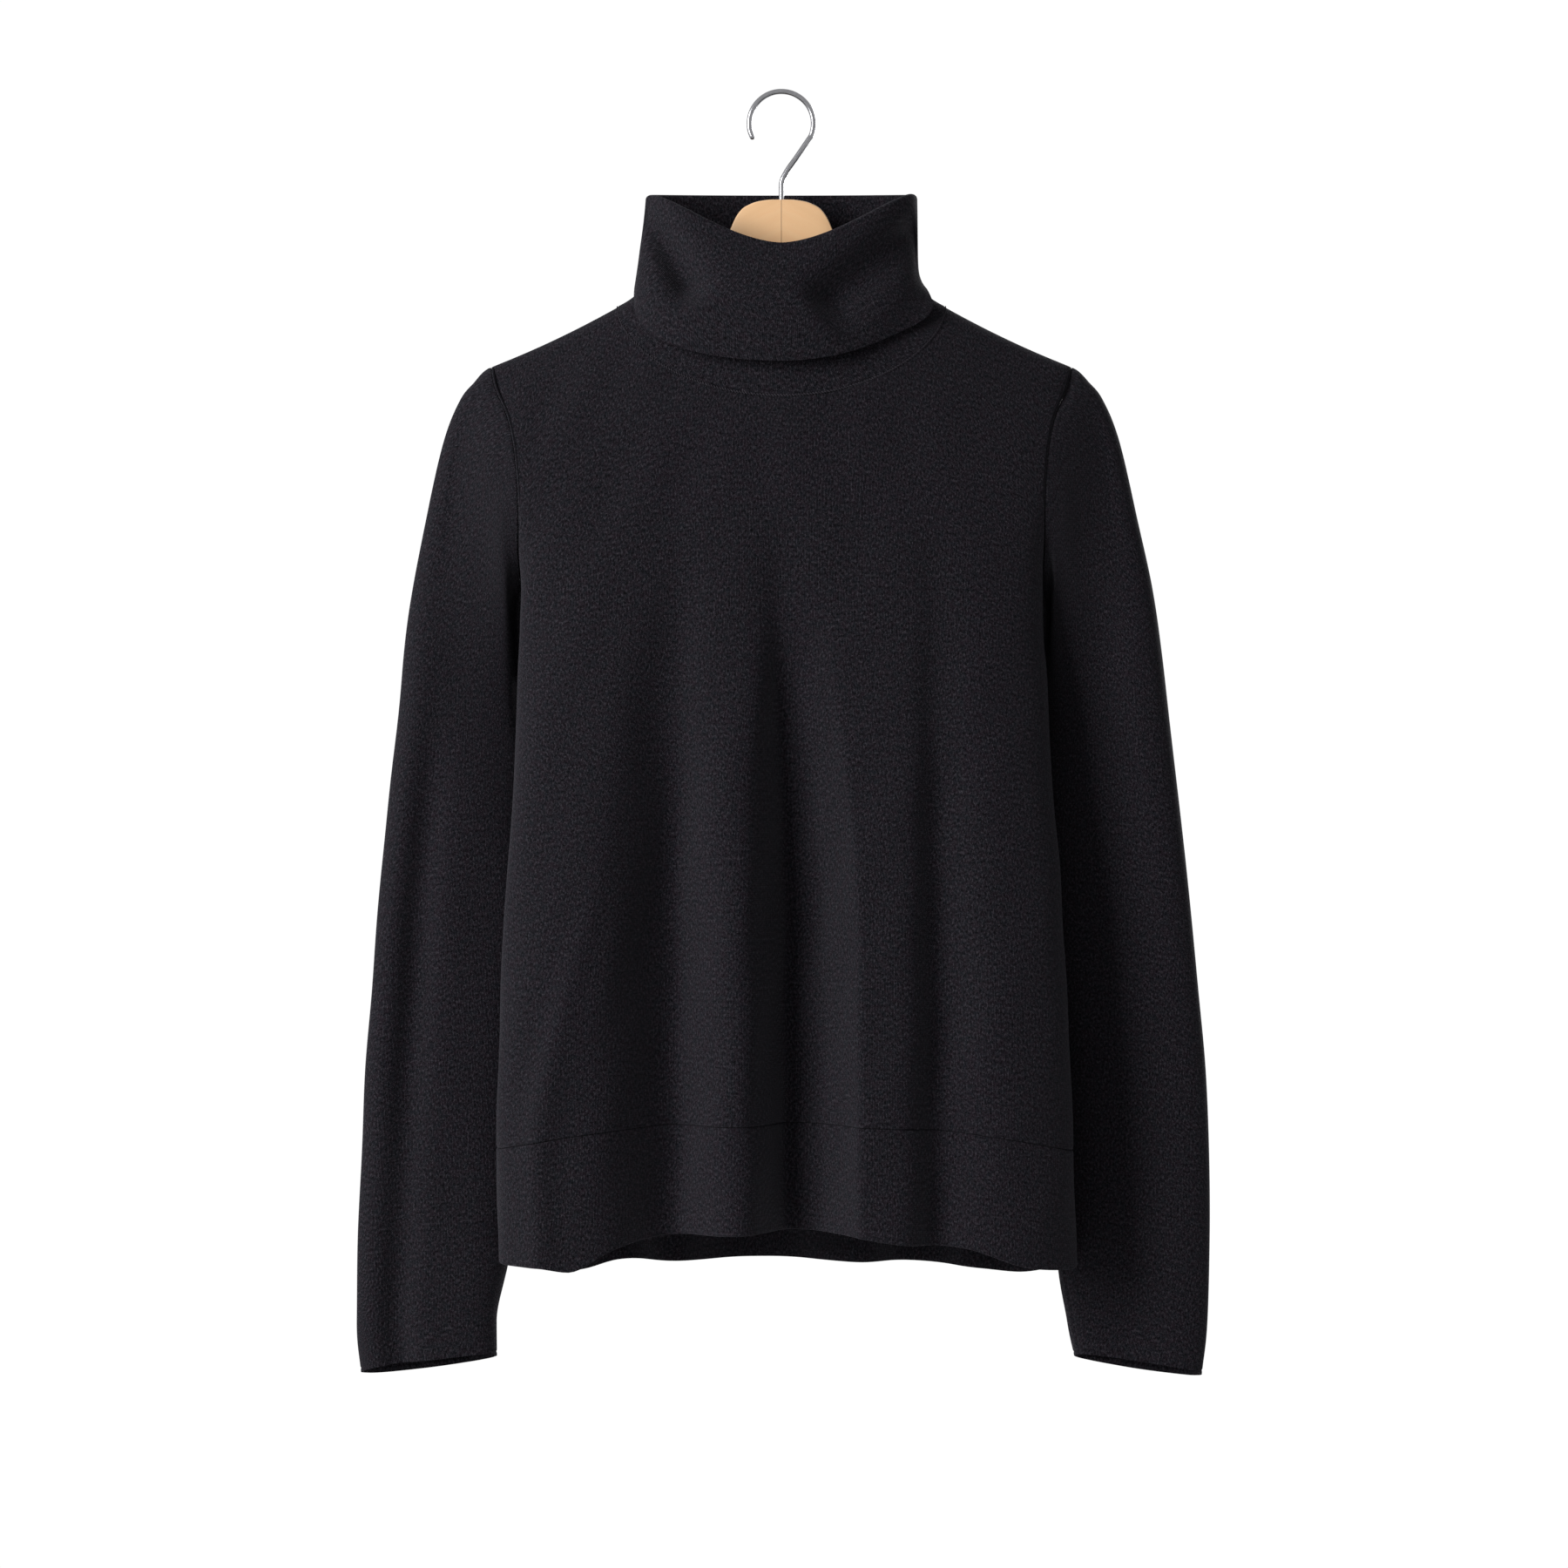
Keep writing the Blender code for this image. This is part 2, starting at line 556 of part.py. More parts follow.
def fold_loop(angle):
    """The top fold: straight across the back, sagging in front between the two pinched sides."""
    cosine = np.cos(angle)
    across = np.abs(np.sin(angle))
    sag = FOLD_SAG * (1.0 - across ** 1.7) ** 1.25
    rise = (FOLD_DOWN_SIDE - FOLD_DOWN_BACK) * np.clip(-cosine, 0.0, 1.0) ** 0.5
    down = FOLD_DOWN_SIDE + np.where(cosine > 0.0, sag, -rise)
    return loop_point(angle, FOLD_HALF, FOLD_HALF, FOLD_FRONT, FOLD_BACK, FOLD_PINCH, down)


def edge_loop(angle):
    """The turned-down layer's free edge, which dips in front and a little behind."""
    cosine = np.cos(angle)
    fall = np.where(np.sin(angle) > 0.0, EDGE_FALL_RIGHT, EDGE_FALL)
    front = (EDGE_DOWN_FRONT - EDGE_DOWN_SIDE) * np.clip(cosine, 0.0, 1.0) ** fall
    back = (EDGE_DOWN_BACK - EDGE_DOWN_SIDE) * np.clip(-cosine, 0.0, 1.0) ** EDGE_FALL
    down = EDGE_DOWN_SIDE + front + back
    loop = loop_point(angle, EDGE_LEFT, EDGE_RIGHT, EDGE_FRONT, EDGE_BACK, EDGE_SQUARE, down)
    off = (np.degrees(angle) - EDGE_KICK_AT) / EDGE_KICK_HALF
    loop[:, 0] += EDGE_KICK * np.exp(-off * off)
    return loop


def outward(loop):
    """Unit vectors across a closed loop seen from above, pointing away from its inside."""
    ahead = np.roll(loop, -1, axis=0) - np.roll(loop, 1, axis=0)
    across = np.stack([-ahead[:, 1], ahead[:, 0], np.zeros(len(loop))], axis=-1)
    across /= np.linalg.norm(across, axis=1, keepdims=True)
    pointing = np.sum(across * loop, axis=1, keepdims=True)
    return across * np.where(pointing.sum() < 0.0, -1.0, 1.0)


def dent_shares(tube_rows, layer_shares):
    """How much of a dent each row takes: the tube's share, rising to 1 down the outer layer."""
    layer = TUBE_DENT + (1.0 - TUBE_DENT) * ease(layer_shares / 0.3)
    return np.concatenate([np.full(tube_rows, TUBE_DENT), layer])


def collar_dents(points, taken):
    """Push the collar's front back along its dents: a bell across each line, soft at its ends."""
    moved = points.copy()
    x = points[..., 0]
    down = -points[..., 2]
    facing = np.clip(-points[..., 1] / np.where(x < 0.0, *DENT_REACH), 0.0, 1.0)
    for x0, down0, x1, down1, above, below, depth in COLLAR_DENTS:
        length = math.hypot(x1 - x0, down1 - down0)
        ux = (x1 - x0) / length
        ud = (down1 - down0) / length
        along = (x - x0) * ux + (down - down0) * ud
        aside = (x - x0) * -ud + (down - down0) * ux
        ends = ease(along / 0.02 + 0.5) * ease((length - along) / 0.02 + 0.5)
        bank = np.exp(-(aside / np.where(aside > 0.0, above, below)) ** 2)
        moved[..., 1] += taken[:, None] * depth * facing * ends * bank
    return moved


def collar_points():
    """The collar's middle surface: up the neck tube, over the fold and down the outer layer."""
    angle = collar_angles()[:-1]
    seam = neck_seam(angle)
    away = outward(fold_loop(angle))
    seam_away = outward(seam)
    base = seam - seam_away * (CLOTH / 2 + SEAM) + np.array([0.0, 0.0, SEAM])
    fold = fold_loop(angle)
    edge = edge_loop(angle)
    rows = []
    for share in np.linspace(0.0, 1.0, TUBE_CELLS + 1) ** TUBE_START:
        lean = 1.0 - (1.0 - share) ** TUBE_LEAN
        level = base * (1.0 - share) + (fold - away * FOLD_BEND) * share
        level[:, 0] = base[:, 0] * (1.0 - lean) + (fold - away * FOLD_BEND)[:, 0] * lean
        rows.append(level)
    for turn in np.linspace(0.0, math.pi, FOLD_CELLS + 1)[1:]:
        lift = np.array([0.0, 0.0, math.sin(turn) * FOLD_BEND])
        rows.append(fold - away * FOLD_BEND * math.cos(turn) + lift)
    cosine = np.cos(angle)[:, None]
    sine = np.sin(angle)
    flare = np.where(sine > 0.0, FLARE_RIGHT, FLARE_LEFT)
    press = EDGE_PRESS * np.exp(-((np.degrees(angle) - EDGE_PRESS_AT) / EDGE_PRESS_HALF) ** 2)
    tube_rows = len(rows)
    layer_shares = np.linspace(0.0, 1.0, LAYER_CELLS + 1)[1:]
    for share in layer_shares:
        top = fold + away * FOLD_BEND
        level = top * (1.0 - share) + edge * share
        level[:, 0] = top[:, 0] + (edge[:, 0] - top[:, 0]) * share ** flare
        level += away * COLLAR_BULGE * math.sin(math.pi * share) * np.abs(cosine)
        level[:, 1] += press * share ** 3
        rows.append(level)
    points = collar_dents(np.array(rows), dent_shares(tube_rows, layer_shares))
    return np.concatenate([points, points[:, :1]], axis=1)


# ---------------------------------------------------------------- hanger

def hanger_rings(side):
    """Rounded sections of one half of the hanger, from the centre joint to the tip."""
    sections = []
    turns = np.linspace(0.0, 2.0 * math.pi, 13)[:-1]
    for across, top, bottom, thick in HANGER_ROWS:
        round_end = thick / 2
        middle = (top + bottom) / 2
        straight = (bottom - top) / 2 - round_end
        y = round_end * np.cos(turns)
        down = middle - np.sign(np.round(np.sin(turns), 6)) * straight - round_end * np.sin(turns)
        sections.append(np.stack([np.full_like(y, side * across), y, -down], axis=-1))
    rings = np.array(sections)
    return np.concatenate([rings, rings[:, :1]], axis=1)


def hook_path():
    """The wire's middle line: shank, slanted leg and bow."""
    centre_down = HOOK_RADIUS - HOOK_WIRE / 2
    join = math.radians(HOOK_JOIN)
    join_x = HOOK_RADIUS * math.cos(join)
    join_down = centre_down - HOOK_RADIUS * math.sin(join)
    seat = HANGER_ROWS[0][1] + HOOK_SEAT
    points = [(0.0, seat), (0.0, seat - 0.5 * HOOK_SEAT), (0.0, HOOK_KNEE_DOWN + 0.005)]
    points += [(0.0007, HOOK_KNEE_DOWN + 0.0015), (0.0026, HOOK_KNEE_DOWN - 0.0025)]
    for share in (0.45, 0.75, 0.92):
        x = 0.0026 + (join_x - 0.0026) * share
        points.append((x, HOOK_KNEE_DOWN - 0.0025 + (join_down - HOOK_KNEE_DOWN + 0.0025) * share))
    for turn in np.radians(np.linspace(HOOK_JOIN, HOOK_TIP, 23)):
        points.append((HOOK_RADIUS * math.cos(turn), centre_down - HOOK_RADIUS * math.sin(turn)))
    return [(x, 0.0, -down) for x, down in points]


# ---------------------------------------------------------------- objects

def clear_scene():
    for item in list(bpy.data.objects):
        bpy.data.objects.remove(item, do_unlink=True)


def new_collection(name):
    found = bpy.data.collections.new(name)
    bpy.context.scene.collection.children.link(found)
    return found


def material(name, colour, roughness, metallic=0.0):
    made = bpy.data.materials.new(name)
    made.use_nodes = True
    shader = made.node_tree.nodes["Principled BSDF"]
    shader.inputs["Base Color"].default_value = (*colour, 1.0)
    shader.inputs["Roughness"].default_value = roughness
    shader.inputs["Metallic"].default_value = metallic
    return made


def grid_mesh(name, points, closed=False, flip=False):
    """A grid primitive whose corners are moved to the points; a closed one is welded round."""
    rows, columns = points.shape[:2]
    sheet = bmesh.new()
    bmesh.ops.create_grid(sheet, x_segments=columns - 1, y_segments=rows - 1, size=0.5)
    for corner in sheet.verts:
        row = round((corner.co.y + 0.5) * (rows - 1))
        place = round((corner.co.x + 0.5) * (columns - 1))
        corner.co = points[row, place]
    if closed:
        bmesh.ops.remove_doubles(sheet, verts=sheet.verts, dist=1e-6)
    if flip:
        bmesh.ops.reverse_faces(sheet, faces=sheet.faces)
    mesh = bpy.data.meshes.new(name)
    sheet.to_mesh(mesh)
    sheet.free()
    mesh.shade_smooth()
    mesh.set_sharp_from_angle(angle=math.radians(50.0))
    return mesh


def add_object(name, mesh, finish, collection):
    made = bpy.data.objects.new(name, mesh)
    mesh.materials.append(finish)
    collection.objects.link(made)
    return made


def add_cloth(name, points, finish, collection, thickness, closed=False, flip=False, offset=-1.0):
    """A cloth piece: its surface as a grid, given its wall by Solidify."""
    mesh = grid_mesh(name, points, closed, flip)
    piece = add_object(name, mesh, finish, collection)
    wall = piece.modifiers.new("wall", "SOLIDIFY")
    wall.thickness = thickness
    wall.offset = offset
    return piece


def add_neck_cutter(name, face, collection):
    """The cutter that opens a panel's neck: the area inside its neckline, extruded front to back."""
    drop = NECK_DROP_FRONT if face == FRONT else NECK_DROP_BACK
    angle = neck_angles(NECK_CELLS_FRONT if face == FRONT else NECK_CELLS_BACK)
    across = NECK_HALF * np.sin(angle)
    heights = -neckline(angle, drop)
    block = bmesh.new()
    outline = [block.verts.new((x, -CUTTER_REACH, z)) for x, z in zip(across, heights)]
    outline.append(block.verts.new((NECK_HALF, -CUTTER_REACH, 0.0)))
    outline.append(block.verts.new((-NECK_HALF, -CUTTER_REACH, 0.0)))
    face_made = block.faces.new(outline)
    grown = bmesh.ops.extrude_face_region(block, geom=[face_made])["geom"]
    far = [item for item in grown if isinstance(item, bmesh.types.BMVert)]
    bmesh.ops.translate(block, verts=far, vec=(0.0, 2.0 * CUTTER_REACH, 0.0))
    bmesh.ops.recalc_face_normals(block, faces=block.faces)
    mesh = bpy.data.meshes.new(name)
    block.to_mesh(mesh)
    block.free()
    cutter = bpy.data.objects.new(name, mesh)
    collection.objects.link(cutter)
    cutter.hide_render = True
    cutter.display_type = "WIRE"
    return cutter


def cut(piece, cutter):
    """Take a cutter's shape out of a piece."""
    modifier = piece.modifiers.new(cutter.name, "BOOLEAN")
    modifier.operation = "DIFFERENCE"
    modifier.object = cutter


def add_hanger_half(name, side, finish, collection, bore):
    """One half of the hanger: a closed loft with a cut for the hook's shank."""
    mesh = grid_mesh(name, hanger_rings(side), closed=True, flip=side > 0)
    solid = bmesh.new()
    solid.from_mesh(mesh)
    bmesh.ops.holes_fill(solid, edges=solid.edges, sides=0)
    bmesh.ops.recalc_face_normals(solid, faces=solid.faces)
    solid.to_mesh(mesh)
    solid.free()
    half = add_object(name, mesh, finish, collection)
    cut(half, bore)
    return half


def add_bore(collection):
    """The cutter that makes the shank's seat in the head."""
    depth = HOOK_SEAT + HOOK_CLEAR
    top = -HANGER_ROWS[0][1] + 0.01
    bpy.ops.mesh.primitive_cylinder_add(
        vertices=16,
        radius=HOOK_WIRE / 2 + HOOK_CLEAR,
        depth=depth + 0.01,
        location=(0.0, 0.0, top - (depth + 0.01) / 2),
    )
    bore = bpy.context.object
    bore.name = "cutter_shank"
    for owner in list(bore.users_collection):
        owner.objects.unlink(bore)
    collection.objects.link(bore)
    bore.hide_render = True
    bore.display_type = "WIRE"
    return bore


def add_hook(finish, collection):
    """The hook: one bent wire, round in section, with closed ends."""
    wire = bpy.data.curves.new("hanger_hook", "CURVE")
    wire.dimensions = "3D"
    wire.bevel_depth = HOOK_WIRE / 2
    wire.bevel_resolution = 2
    wire.use_fill_caps = True
    path = hook_path()
    line = wire.splines.new("POLY")
    line.points.add(len(path) - 1)
    for point, place in zip(line.points, path):
        point.co = (*place, 1.0)
    line.use_smooth = True
    hook = bpy.data.objects.new("hanger_hook", wire)
    wire.materials.append(finish)
    collection.objects.link(hook)
    return hook


def main():
    clear_scene()
    parts = new_collection(COLLECTION)
    cutters = new_collection("cutters")
    knit = material("navy_knit", (0.012, 0.011, 0.016), 0.9)
    wood = material("pale_wood", (0.72, 0.50, 0.30), 0.45)
    steel = material("plated_steel", (0.80, 0.80, 0.80), 0.2, 1.0)

    for face, name in ((FRONT, "front"), (BACK, "back")):
        flip = face == FRONT
        points = side_gap(part_at_seams(panel_points(face), face), SEAM)
        panel = add_cloth(name + "_panel", points, knit, parts, CLOTH, flip=flip)
        cut(panel, add_neck_cutter("cutter_neck_" + name, face, cutters))
        band = side_gap(band_points(face), BAND_SEAM)
        add_cloth("hem_band_" + name, band, knit, parts, BAND_CLOTH, flip=flip)
    for side, name in ((-1.0, "sleeve_left"), (1.0, "sleeve_right")):
        add_cloth(name, sleeve_points(side), knit, parts, CLOTH, closed=True, flip=side < 0)
    add_cloth("roll_collar", collar_points(), knit, parts, CLOTH, closed=True, offset=0.0)

    bore = add_bore(cutters)
    add_hanger_half("hanger_left", -1.0, wood, parts, bore)
    add_hanger_half("hanger_right", 1.0, wood, parts, bore)
    add_hook(steel, parts)


main()
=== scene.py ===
"""Turtleneck sweater on a wooden hanger: the knit, its seams and folds, and the hanger.

Metres, +Z up.  The origin is the underside of the hook's top arc.  The garment faces -Y, and +X is
the viewer's right.  Heights are kept as `down`, the distance below the origin.  An `angle` runs
round the body: 0 at the centre of the front, 90 degrees at the side and 180 at the back's centre.
"""
import math

import bmesh
import bpy
import numpy as np
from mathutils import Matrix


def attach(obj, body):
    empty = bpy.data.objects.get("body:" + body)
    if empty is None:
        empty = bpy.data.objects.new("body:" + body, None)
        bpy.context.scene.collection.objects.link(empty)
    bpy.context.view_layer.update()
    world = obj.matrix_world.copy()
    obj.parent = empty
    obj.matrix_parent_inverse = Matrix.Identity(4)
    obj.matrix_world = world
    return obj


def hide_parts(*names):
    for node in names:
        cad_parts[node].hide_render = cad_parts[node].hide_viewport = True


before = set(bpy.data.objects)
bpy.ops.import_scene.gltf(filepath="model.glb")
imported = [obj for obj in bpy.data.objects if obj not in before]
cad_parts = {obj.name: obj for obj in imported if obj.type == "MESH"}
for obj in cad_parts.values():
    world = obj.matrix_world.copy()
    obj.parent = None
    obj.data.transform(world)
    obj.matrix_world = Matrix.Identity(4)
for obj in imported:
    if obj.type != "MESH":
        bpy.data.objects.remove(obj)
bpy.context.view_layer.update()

BODY = "root"
FRONT = -1.0
BACK = 1.0
LEFT = -1.0
RIGHT = 1.0

# ---------------------------------------------------------------- the garment's sizes

CLOTH = 0.0016            # one layer of the knit
BAND_CLOTH = 0.0024       # the doubled hem band
SEAM = 0.00018            # gap between two sewn pieces
SLEEVE_SEAM = 0.0005      # at the armhole, where the sleeve turns down from the panel

# Neck and shoulders
NECK_HALF = 0.107         # half the width between the neck points
NECK_DOWN = 0.1395        # the neck points
NECK_DROP_FRONT = 0.0620  # how far the front neckline dips
NECK_DROP_BACK = 0.0180
NECK_POWER = 1.12         # 1 is an ellipse, more is a flatter U
RIDGE_FALL = 0.56         # slope of the shoulder at the neck
RIDGE_EASE = 1.05         # how it flattens outwards
SHOULDER_X = 0.1904       # armhole's top
RIDGE_RADIUS = 0.0078     # the cloth's bend over the hanger's arm

# The closed form that front and back are cut from.  left and right are its half widths, front
# and back its depths at the centre line.
FORM_COLUMNS = ("down", "left", "right", "front", "back")
FORM_ROWS = (
    (0.176, 0.2015, 0.2015, 0.0440, 0.0400),
    (0.194, 0.1990, 0.1985, 0.0455, 0.0410),
    (0.210, 0.1962, 0.1955, 0.0460, 0.0420),
    (0.228, 0.1922, 0.1918, 0.0460, 0.0430),
    (0.248, 0.1868, 0.1868, 0.0460, 0.0440),
    (0.2645, 0.1820, 0.1822, 0.0460, 0.0445),
    (0.285, 0.1755, 0.1758, 0.0460, 0.0450),
    (0.312, 0.1702, 0.1704, 0.0460, 0.0455),
    (0.348, 0.1699, 0.1704, 0.0475, 0.0460),
    (0.385, 0.1714, 0.1727, 0.0493, 0.0465),
    (0.451, 0.1745, 0.1762, 0.0515, 0.0475),
    (0.508, 0.1788, 0.1812, 0.0540, 0.0490),
    (0.565, 0.1815, 0.1847, 0.0570, 0.0510),
    (0.622, 0.1835, 0.1872, 0.0595, 0.0525),
    (0.679, 0.1852, 0.1894, 0.0610, 0.0535),
    (0.736, 0.1848, 0.1908, 0.0615, 0.0540),
    (0.775, 0.1828, 0.1916, 0.0615, 0.0540),
)
SECTION_POWERS = {FRONT: 4.6, BACK: 2.4}  # 2 is an ellipse, more has fuller sides
SPREAD = 0.050            # the drop below the ridge over which the cloth stands off the hanger
SIDE_START = 0.240        # the ridge's bend gives way to the rounded side between these
SIDE_FULL = 0.300

# Where the armhole and side seams cut the form, in degrees from the front's and the back's centre
SEAM_COLUMNS = ("down", "front", "back")
SEAM_ROWS = (
    (0.176, 71.0, 71.0),
    (0.194, 69.6, 69.6),
    (0.210, 66.0, 66.0),
    (0.228, 65.2, 65.0),
    (0.248, 66.9, 65.0),
    (0.2645, 69.6, 65.5),
    (0.285, 76.0, 64.0),
    (0.312, 88.0, 62.5),
    (0.340, 92.0, 62.0),
    (0.360, 95.5, 66.0),
    (0.377, 102.0, 78.0),
    (0.450, 102.0, 78.0),
)
BAND_ROW = 0.700          # where in that table the bands are read

# Hem and its band
BAND_TOP_MIDDLE = 0.671
BAND_TOP_SIDE = 0.0175    # how much lower the band's seam lies at the sides
HEM_COLUMNS = ("across", "front", "back")
HEM_ROWS = (
    (-0.195, 0.7612, 0.7612),
    (-0.158, 0.7612, 0.7700),
    (-0.138, 0.7640, 0.7735),
    (-0.110, 0.7510, 0.7680),
    (-0.080, 0.7440, 0.7665),
    (-0.045, 0.7415, 0.7670),
    (0.000, 0.7404, 0.7665),
    (0.045, 0.7420, 0.7670),
    (0.080, 0.7467, 0.7685),
    (0.120, 0.7500, 0.7715),
    (0.155, 0.7610, 0.7750),
    (0.195, 0.7650, 0.7650),
)

# Folds that run down to the hem: each starts soft at `start` and is full at `full`.  across is its
# place at both heights, left and right the reach of its banks, depth its depth (a ridge is
# negative), and crisp how sharply its right bank ends: 0 is a bell and 1 a crease.
FRONT_FOLDS = (
    (0.240, 0.600, -0.0680, -0.0710, 0.0320, 0.0250, 0.0370, 0.0),
    (0.260, 0.560, 0.0000, 0.0060, 0.0185, 0.0440, 0.0430, 0.8),
    (0.260, 0.620, 0.0980, 0.1000, 0.0130, 0.0240, 0.0170, 0.0),
    (0.440, 0.690, -0.1080, -0.1560, 0.0100, 0.0110, -0.0060, 0.0),
)
BACK_FOLDS = (
    (0.330, 0.700, -0.0600, -0.0700, 0.0230, 0.0250, 0.0260, 0.0),
    (0.300, 0.680, 0.0420, 0.0500, 0.0340, 0.0220, 0.0300, 0.0),
    (0.400, 0.700, 0.1220, 0.1260, 0.0130, 0.0150, 0.0100, 0.0),
    (0.430, 0.700, -0.1300, -0.1380, 0.0130, 0.0130, 0.0080, 0.0),
)

# Sleeves: the outline's outer and inner edges, from the armhole to the cuff
SLEEVE_COLUMNS = (
    "outer_left", "outer_right", "outer_down", "inner_left", "inner_right", "inner_down",
    "outer_y", "inner_y", "depth",
)
SLEEVE_ROWS = (
    (0.1904, 0.1904, 0.1779, 0.1672, 0.1672, 0.3770, 0.0000, 0.0140, 0.0260),
    (0.1952, 0.1951, 0.1811, 0.1676, 0.1676, 0.3787, 0.0002, 0.0155, 0.0261),
    (0.2010, 0.2008, 0.1874, 0.1680, 0.1680, 0.3805, 0.0005, 0.0170, 0.0262),
    (0.2106, 0.2098, 0.1990, 0.1688, 0.1688, 0.3850, 0.0012, 0.0195, 0.0262),
    (0.2211, 0.2203, 0.2257, 0.1685, 0.1685, 0.3920, 0.0031, 0.0224, 0.0258),
    (0.2330, 0.2326, 0.2790, 0.1669, 0.1671, 0.4030, 0.0069, 0.0273, 0.0237),
    (0.2420, 0.2428, 0.3230, 0.1656, 0.1662, 0.4190, 0.0105, 0.0306, 0.0220),
    (0.2486, 0.2496, 0.3650, 0.1643, 0.1653, 0.4400, 0.0135, 0.0318, 0.0218),
    (0.2542, 0.2560, 0.4172, 0.1652, 0.1667, 0.4720, 0.0165, 0.0320, 0.0213),
    (0.2640, 0.2665, 0.5084, 0.1683, 0.1712, 0.5400, 0.0200, 0.0318, 0.0202),
    (0.2705, 0.2740, 0.5840, 0.1710, 0.1790, 0.6050, 0.0215, 0.0312, 0.0191),
    (0.2757, 0.2797, 0.6509, 0.1730, 0.1823, 0.6660, 0.0223, 0.0306, 0.0180),
    (0.2795, 0.2822, 0.7450, 0.1784, 0.1820, 0.7540, 0.0225, 0.0288, 0.0161),
    (0.2800, 0.2812, 0.8060, 0.1882, 0.1888, 0.8060, 0.0227, 0.0265, 0.0139),
    (0.2772, 0.2775, 0.8400, 0.1880, 0.1935, 0.8290, 0.0230, 0.0255, 0.0126),
)
SLEEVE_FLAT = 4.0         # 2 is an ellipse, more is a flatter ring
SLEEVE_SWING = {LEFT: 0.0020, RIGHT: -0.0090}  # how far back the outer edge hangs
CUFF_TILT = 0.30          # how much lower the cuff's back lies than its front, for each metre back
CUFF_TILT_FROM = 0.8      # the share of the sleeve's length where that tilt starts
SWING_SHARE = 0.5         # the share of its length by which a sleeve has its whole swing
ARMHOLE_REACH = 0.130     # length of sleeve over which the armhole's shape fades
# The long soft dents of each sleeve: degrees round it from its outer edge, reach and depth
SLEEVE_DENTS = {
    LEFT: ((62.0, 66.0, 14.0, 0.0085), (285.0, 270.0, 30.0, 0.0040)),
    RIGHT: ((112.0, 106.0, 30.0, 0.0035), (262.0, 280.0, 28.0, 0.0040)),
}
SLEEVE_DENT_START = 0.09  # how far down the sleeve they begin, and fade again by a share
SLEEVE_DENT_FADES = 0.50
SLEEVE_DENT_FADE = 0.55
SLEEVE_DENT_EASE = 0.16   # the length over which they come and go
SLEEVE_SEAM_AT = {LEFT: 196.0, RIGHT: 157.0}  # degrees round, where the underarm seam runs

# Collar.  The top fold sags in front; the turned-down layer ends at the edge loop.
FOLD_HALF = 0.0860
FOLD_FRONT = 0.0400
FOLD_BACK = 0.0250
FOLD_DOWN_SIDE = 0.0695
FOLD_DOWN_BACK = 0.0653
FOLD_SAG = 0.0362
FOLD_PINCH = 0.75
FOLD_BEND = 0.0021        # radius of the fold's middle line
EDGE_LEFT = 0.0955
EDGE_RIGHT = 0.0915
EDGE_FRONT = 0.0500
EDGE_BACK = 0.0420
EDGE_DOWN_SIDE = 0.1270
EDGE_DOWN_FRONT = 0.1800
EDGE_DOWN_BACK = 0.1480
FLARE_LEFT = 1.2          # 1 widens evenly from the fold to the edge, more widens late
FLARE_RIGHT = 9.0
COLLAR_BULGE = 0.0080     # how far the turned-down layer swells between fold and edge
EDGE_KICK = 0.0110        # how far the edge's right front corner stands out
EDGE_KICK_AT = 69.0       # its place, in degrees from the front
EDGE_KICK_HALF = 17.0
EDGE_PRESS = 0.0090       # how much the edge's right front leans back to the shoulder
EDGE_PRESS_AT = 62.0
EDGE_PRESS_HALF = 26.0
EDGE_FALL = 0.62          # how fast the edge drops away from the sides
EDGE_FALL_RIGHT = 1.00    # and in front on the right
EDGE_SQUARE = 0.50        # below 1 the edge loop has fuller corners
TUBE_LEAN = 6.5           # how early the neck tube narrows above its seam
TUBE_START = 1.5          # spacing of its rings, closer together at the seam
COLLAR_ROUND = 0.420      # the collar's knitted length round
# Dents of the collar's front, each along a line from its start to its end.  The neck tube behind
# takes only a share of them.
TUBE_DENT = 0.60
DENT_REACH = (0.014, 0.020)  # how far in front of the sides they are full, left and right
DENT_EASE = 0.02          # the length over which each end fades
# Columns: across and down at the start, the same at the end, reach above and below, depth
COLLAR_DENTS = (
    (-0.0935, 0.0660, -0.0560, 0.1380, 0.0110, 0.0115, 0.0165),
    (0.0930, 0.0860, 0.0250, 0.1450, 0.0150, 0.0225, 0.0165),
)

# Hanger: half of it, from the centre joint to the tip.  corner is the radius of its long edges.
HANGER_COLUMNS = ("across", "top", "bottom", "thick", "corner")
HANGER_ROWS = (
    (0.00015, 0.0695, 0.1180, 0.0110, 0.0016),
    (0.0100, 0.0699, 0.1186, 0.0110, 0.0016),
    (0.0200, 0.0724, 0.1204, 0.0110, 0.0016),
    (0.0262, 0.0763, 0.1222, 0.0110, 0.0016),
    (0.0300, 0.0815, 0.1236, 0.0110, 0.0018),
    (0.0335, 0.0892, 0.1250, 0.0110, 0.0022),
    (0.0370, 0.0975, 0.1266, 0.0110, 0.0030),
    (0.0420, 0.1062, 0.1292, 0.0110, 0.0042),
    (0.0520, 0.1126, 0.1348, 0.0110, 0.0054),
    (0.0750, 0.1250, 0.1484, 0.0110, 0.0054),
    (0.1070, 0.1418, 0.1654, 0.0110, 0.0054),
    (0.1400, 0.1591, 0.1822, 0.0110, 0.0054),
    (0.1700, 0.1730, 0.1950, 0.0110, 0.0054),
    (0.1830, 0.1786, 0.1996, 0.0110, 0.0054),
    (0.1905, 0.1830, 0.1996, 0.0092, 0.0045),
    (0.1940, 0.1868, 0.1970, 0.0060, 0.0029),
)
HOOK_WIRE = 0.0035
HOOK_RADIUS = 0.0210      # the bow's middle line
HOOK_JOIN = -23.0         # where the slanted leg meets the bow, in degrees from +X
HOOK_TIP = 205.0          # where the bow ends
HOOK_KNEE_DOWN = 0.0545   # the bend between the upright shank and the slanted leg
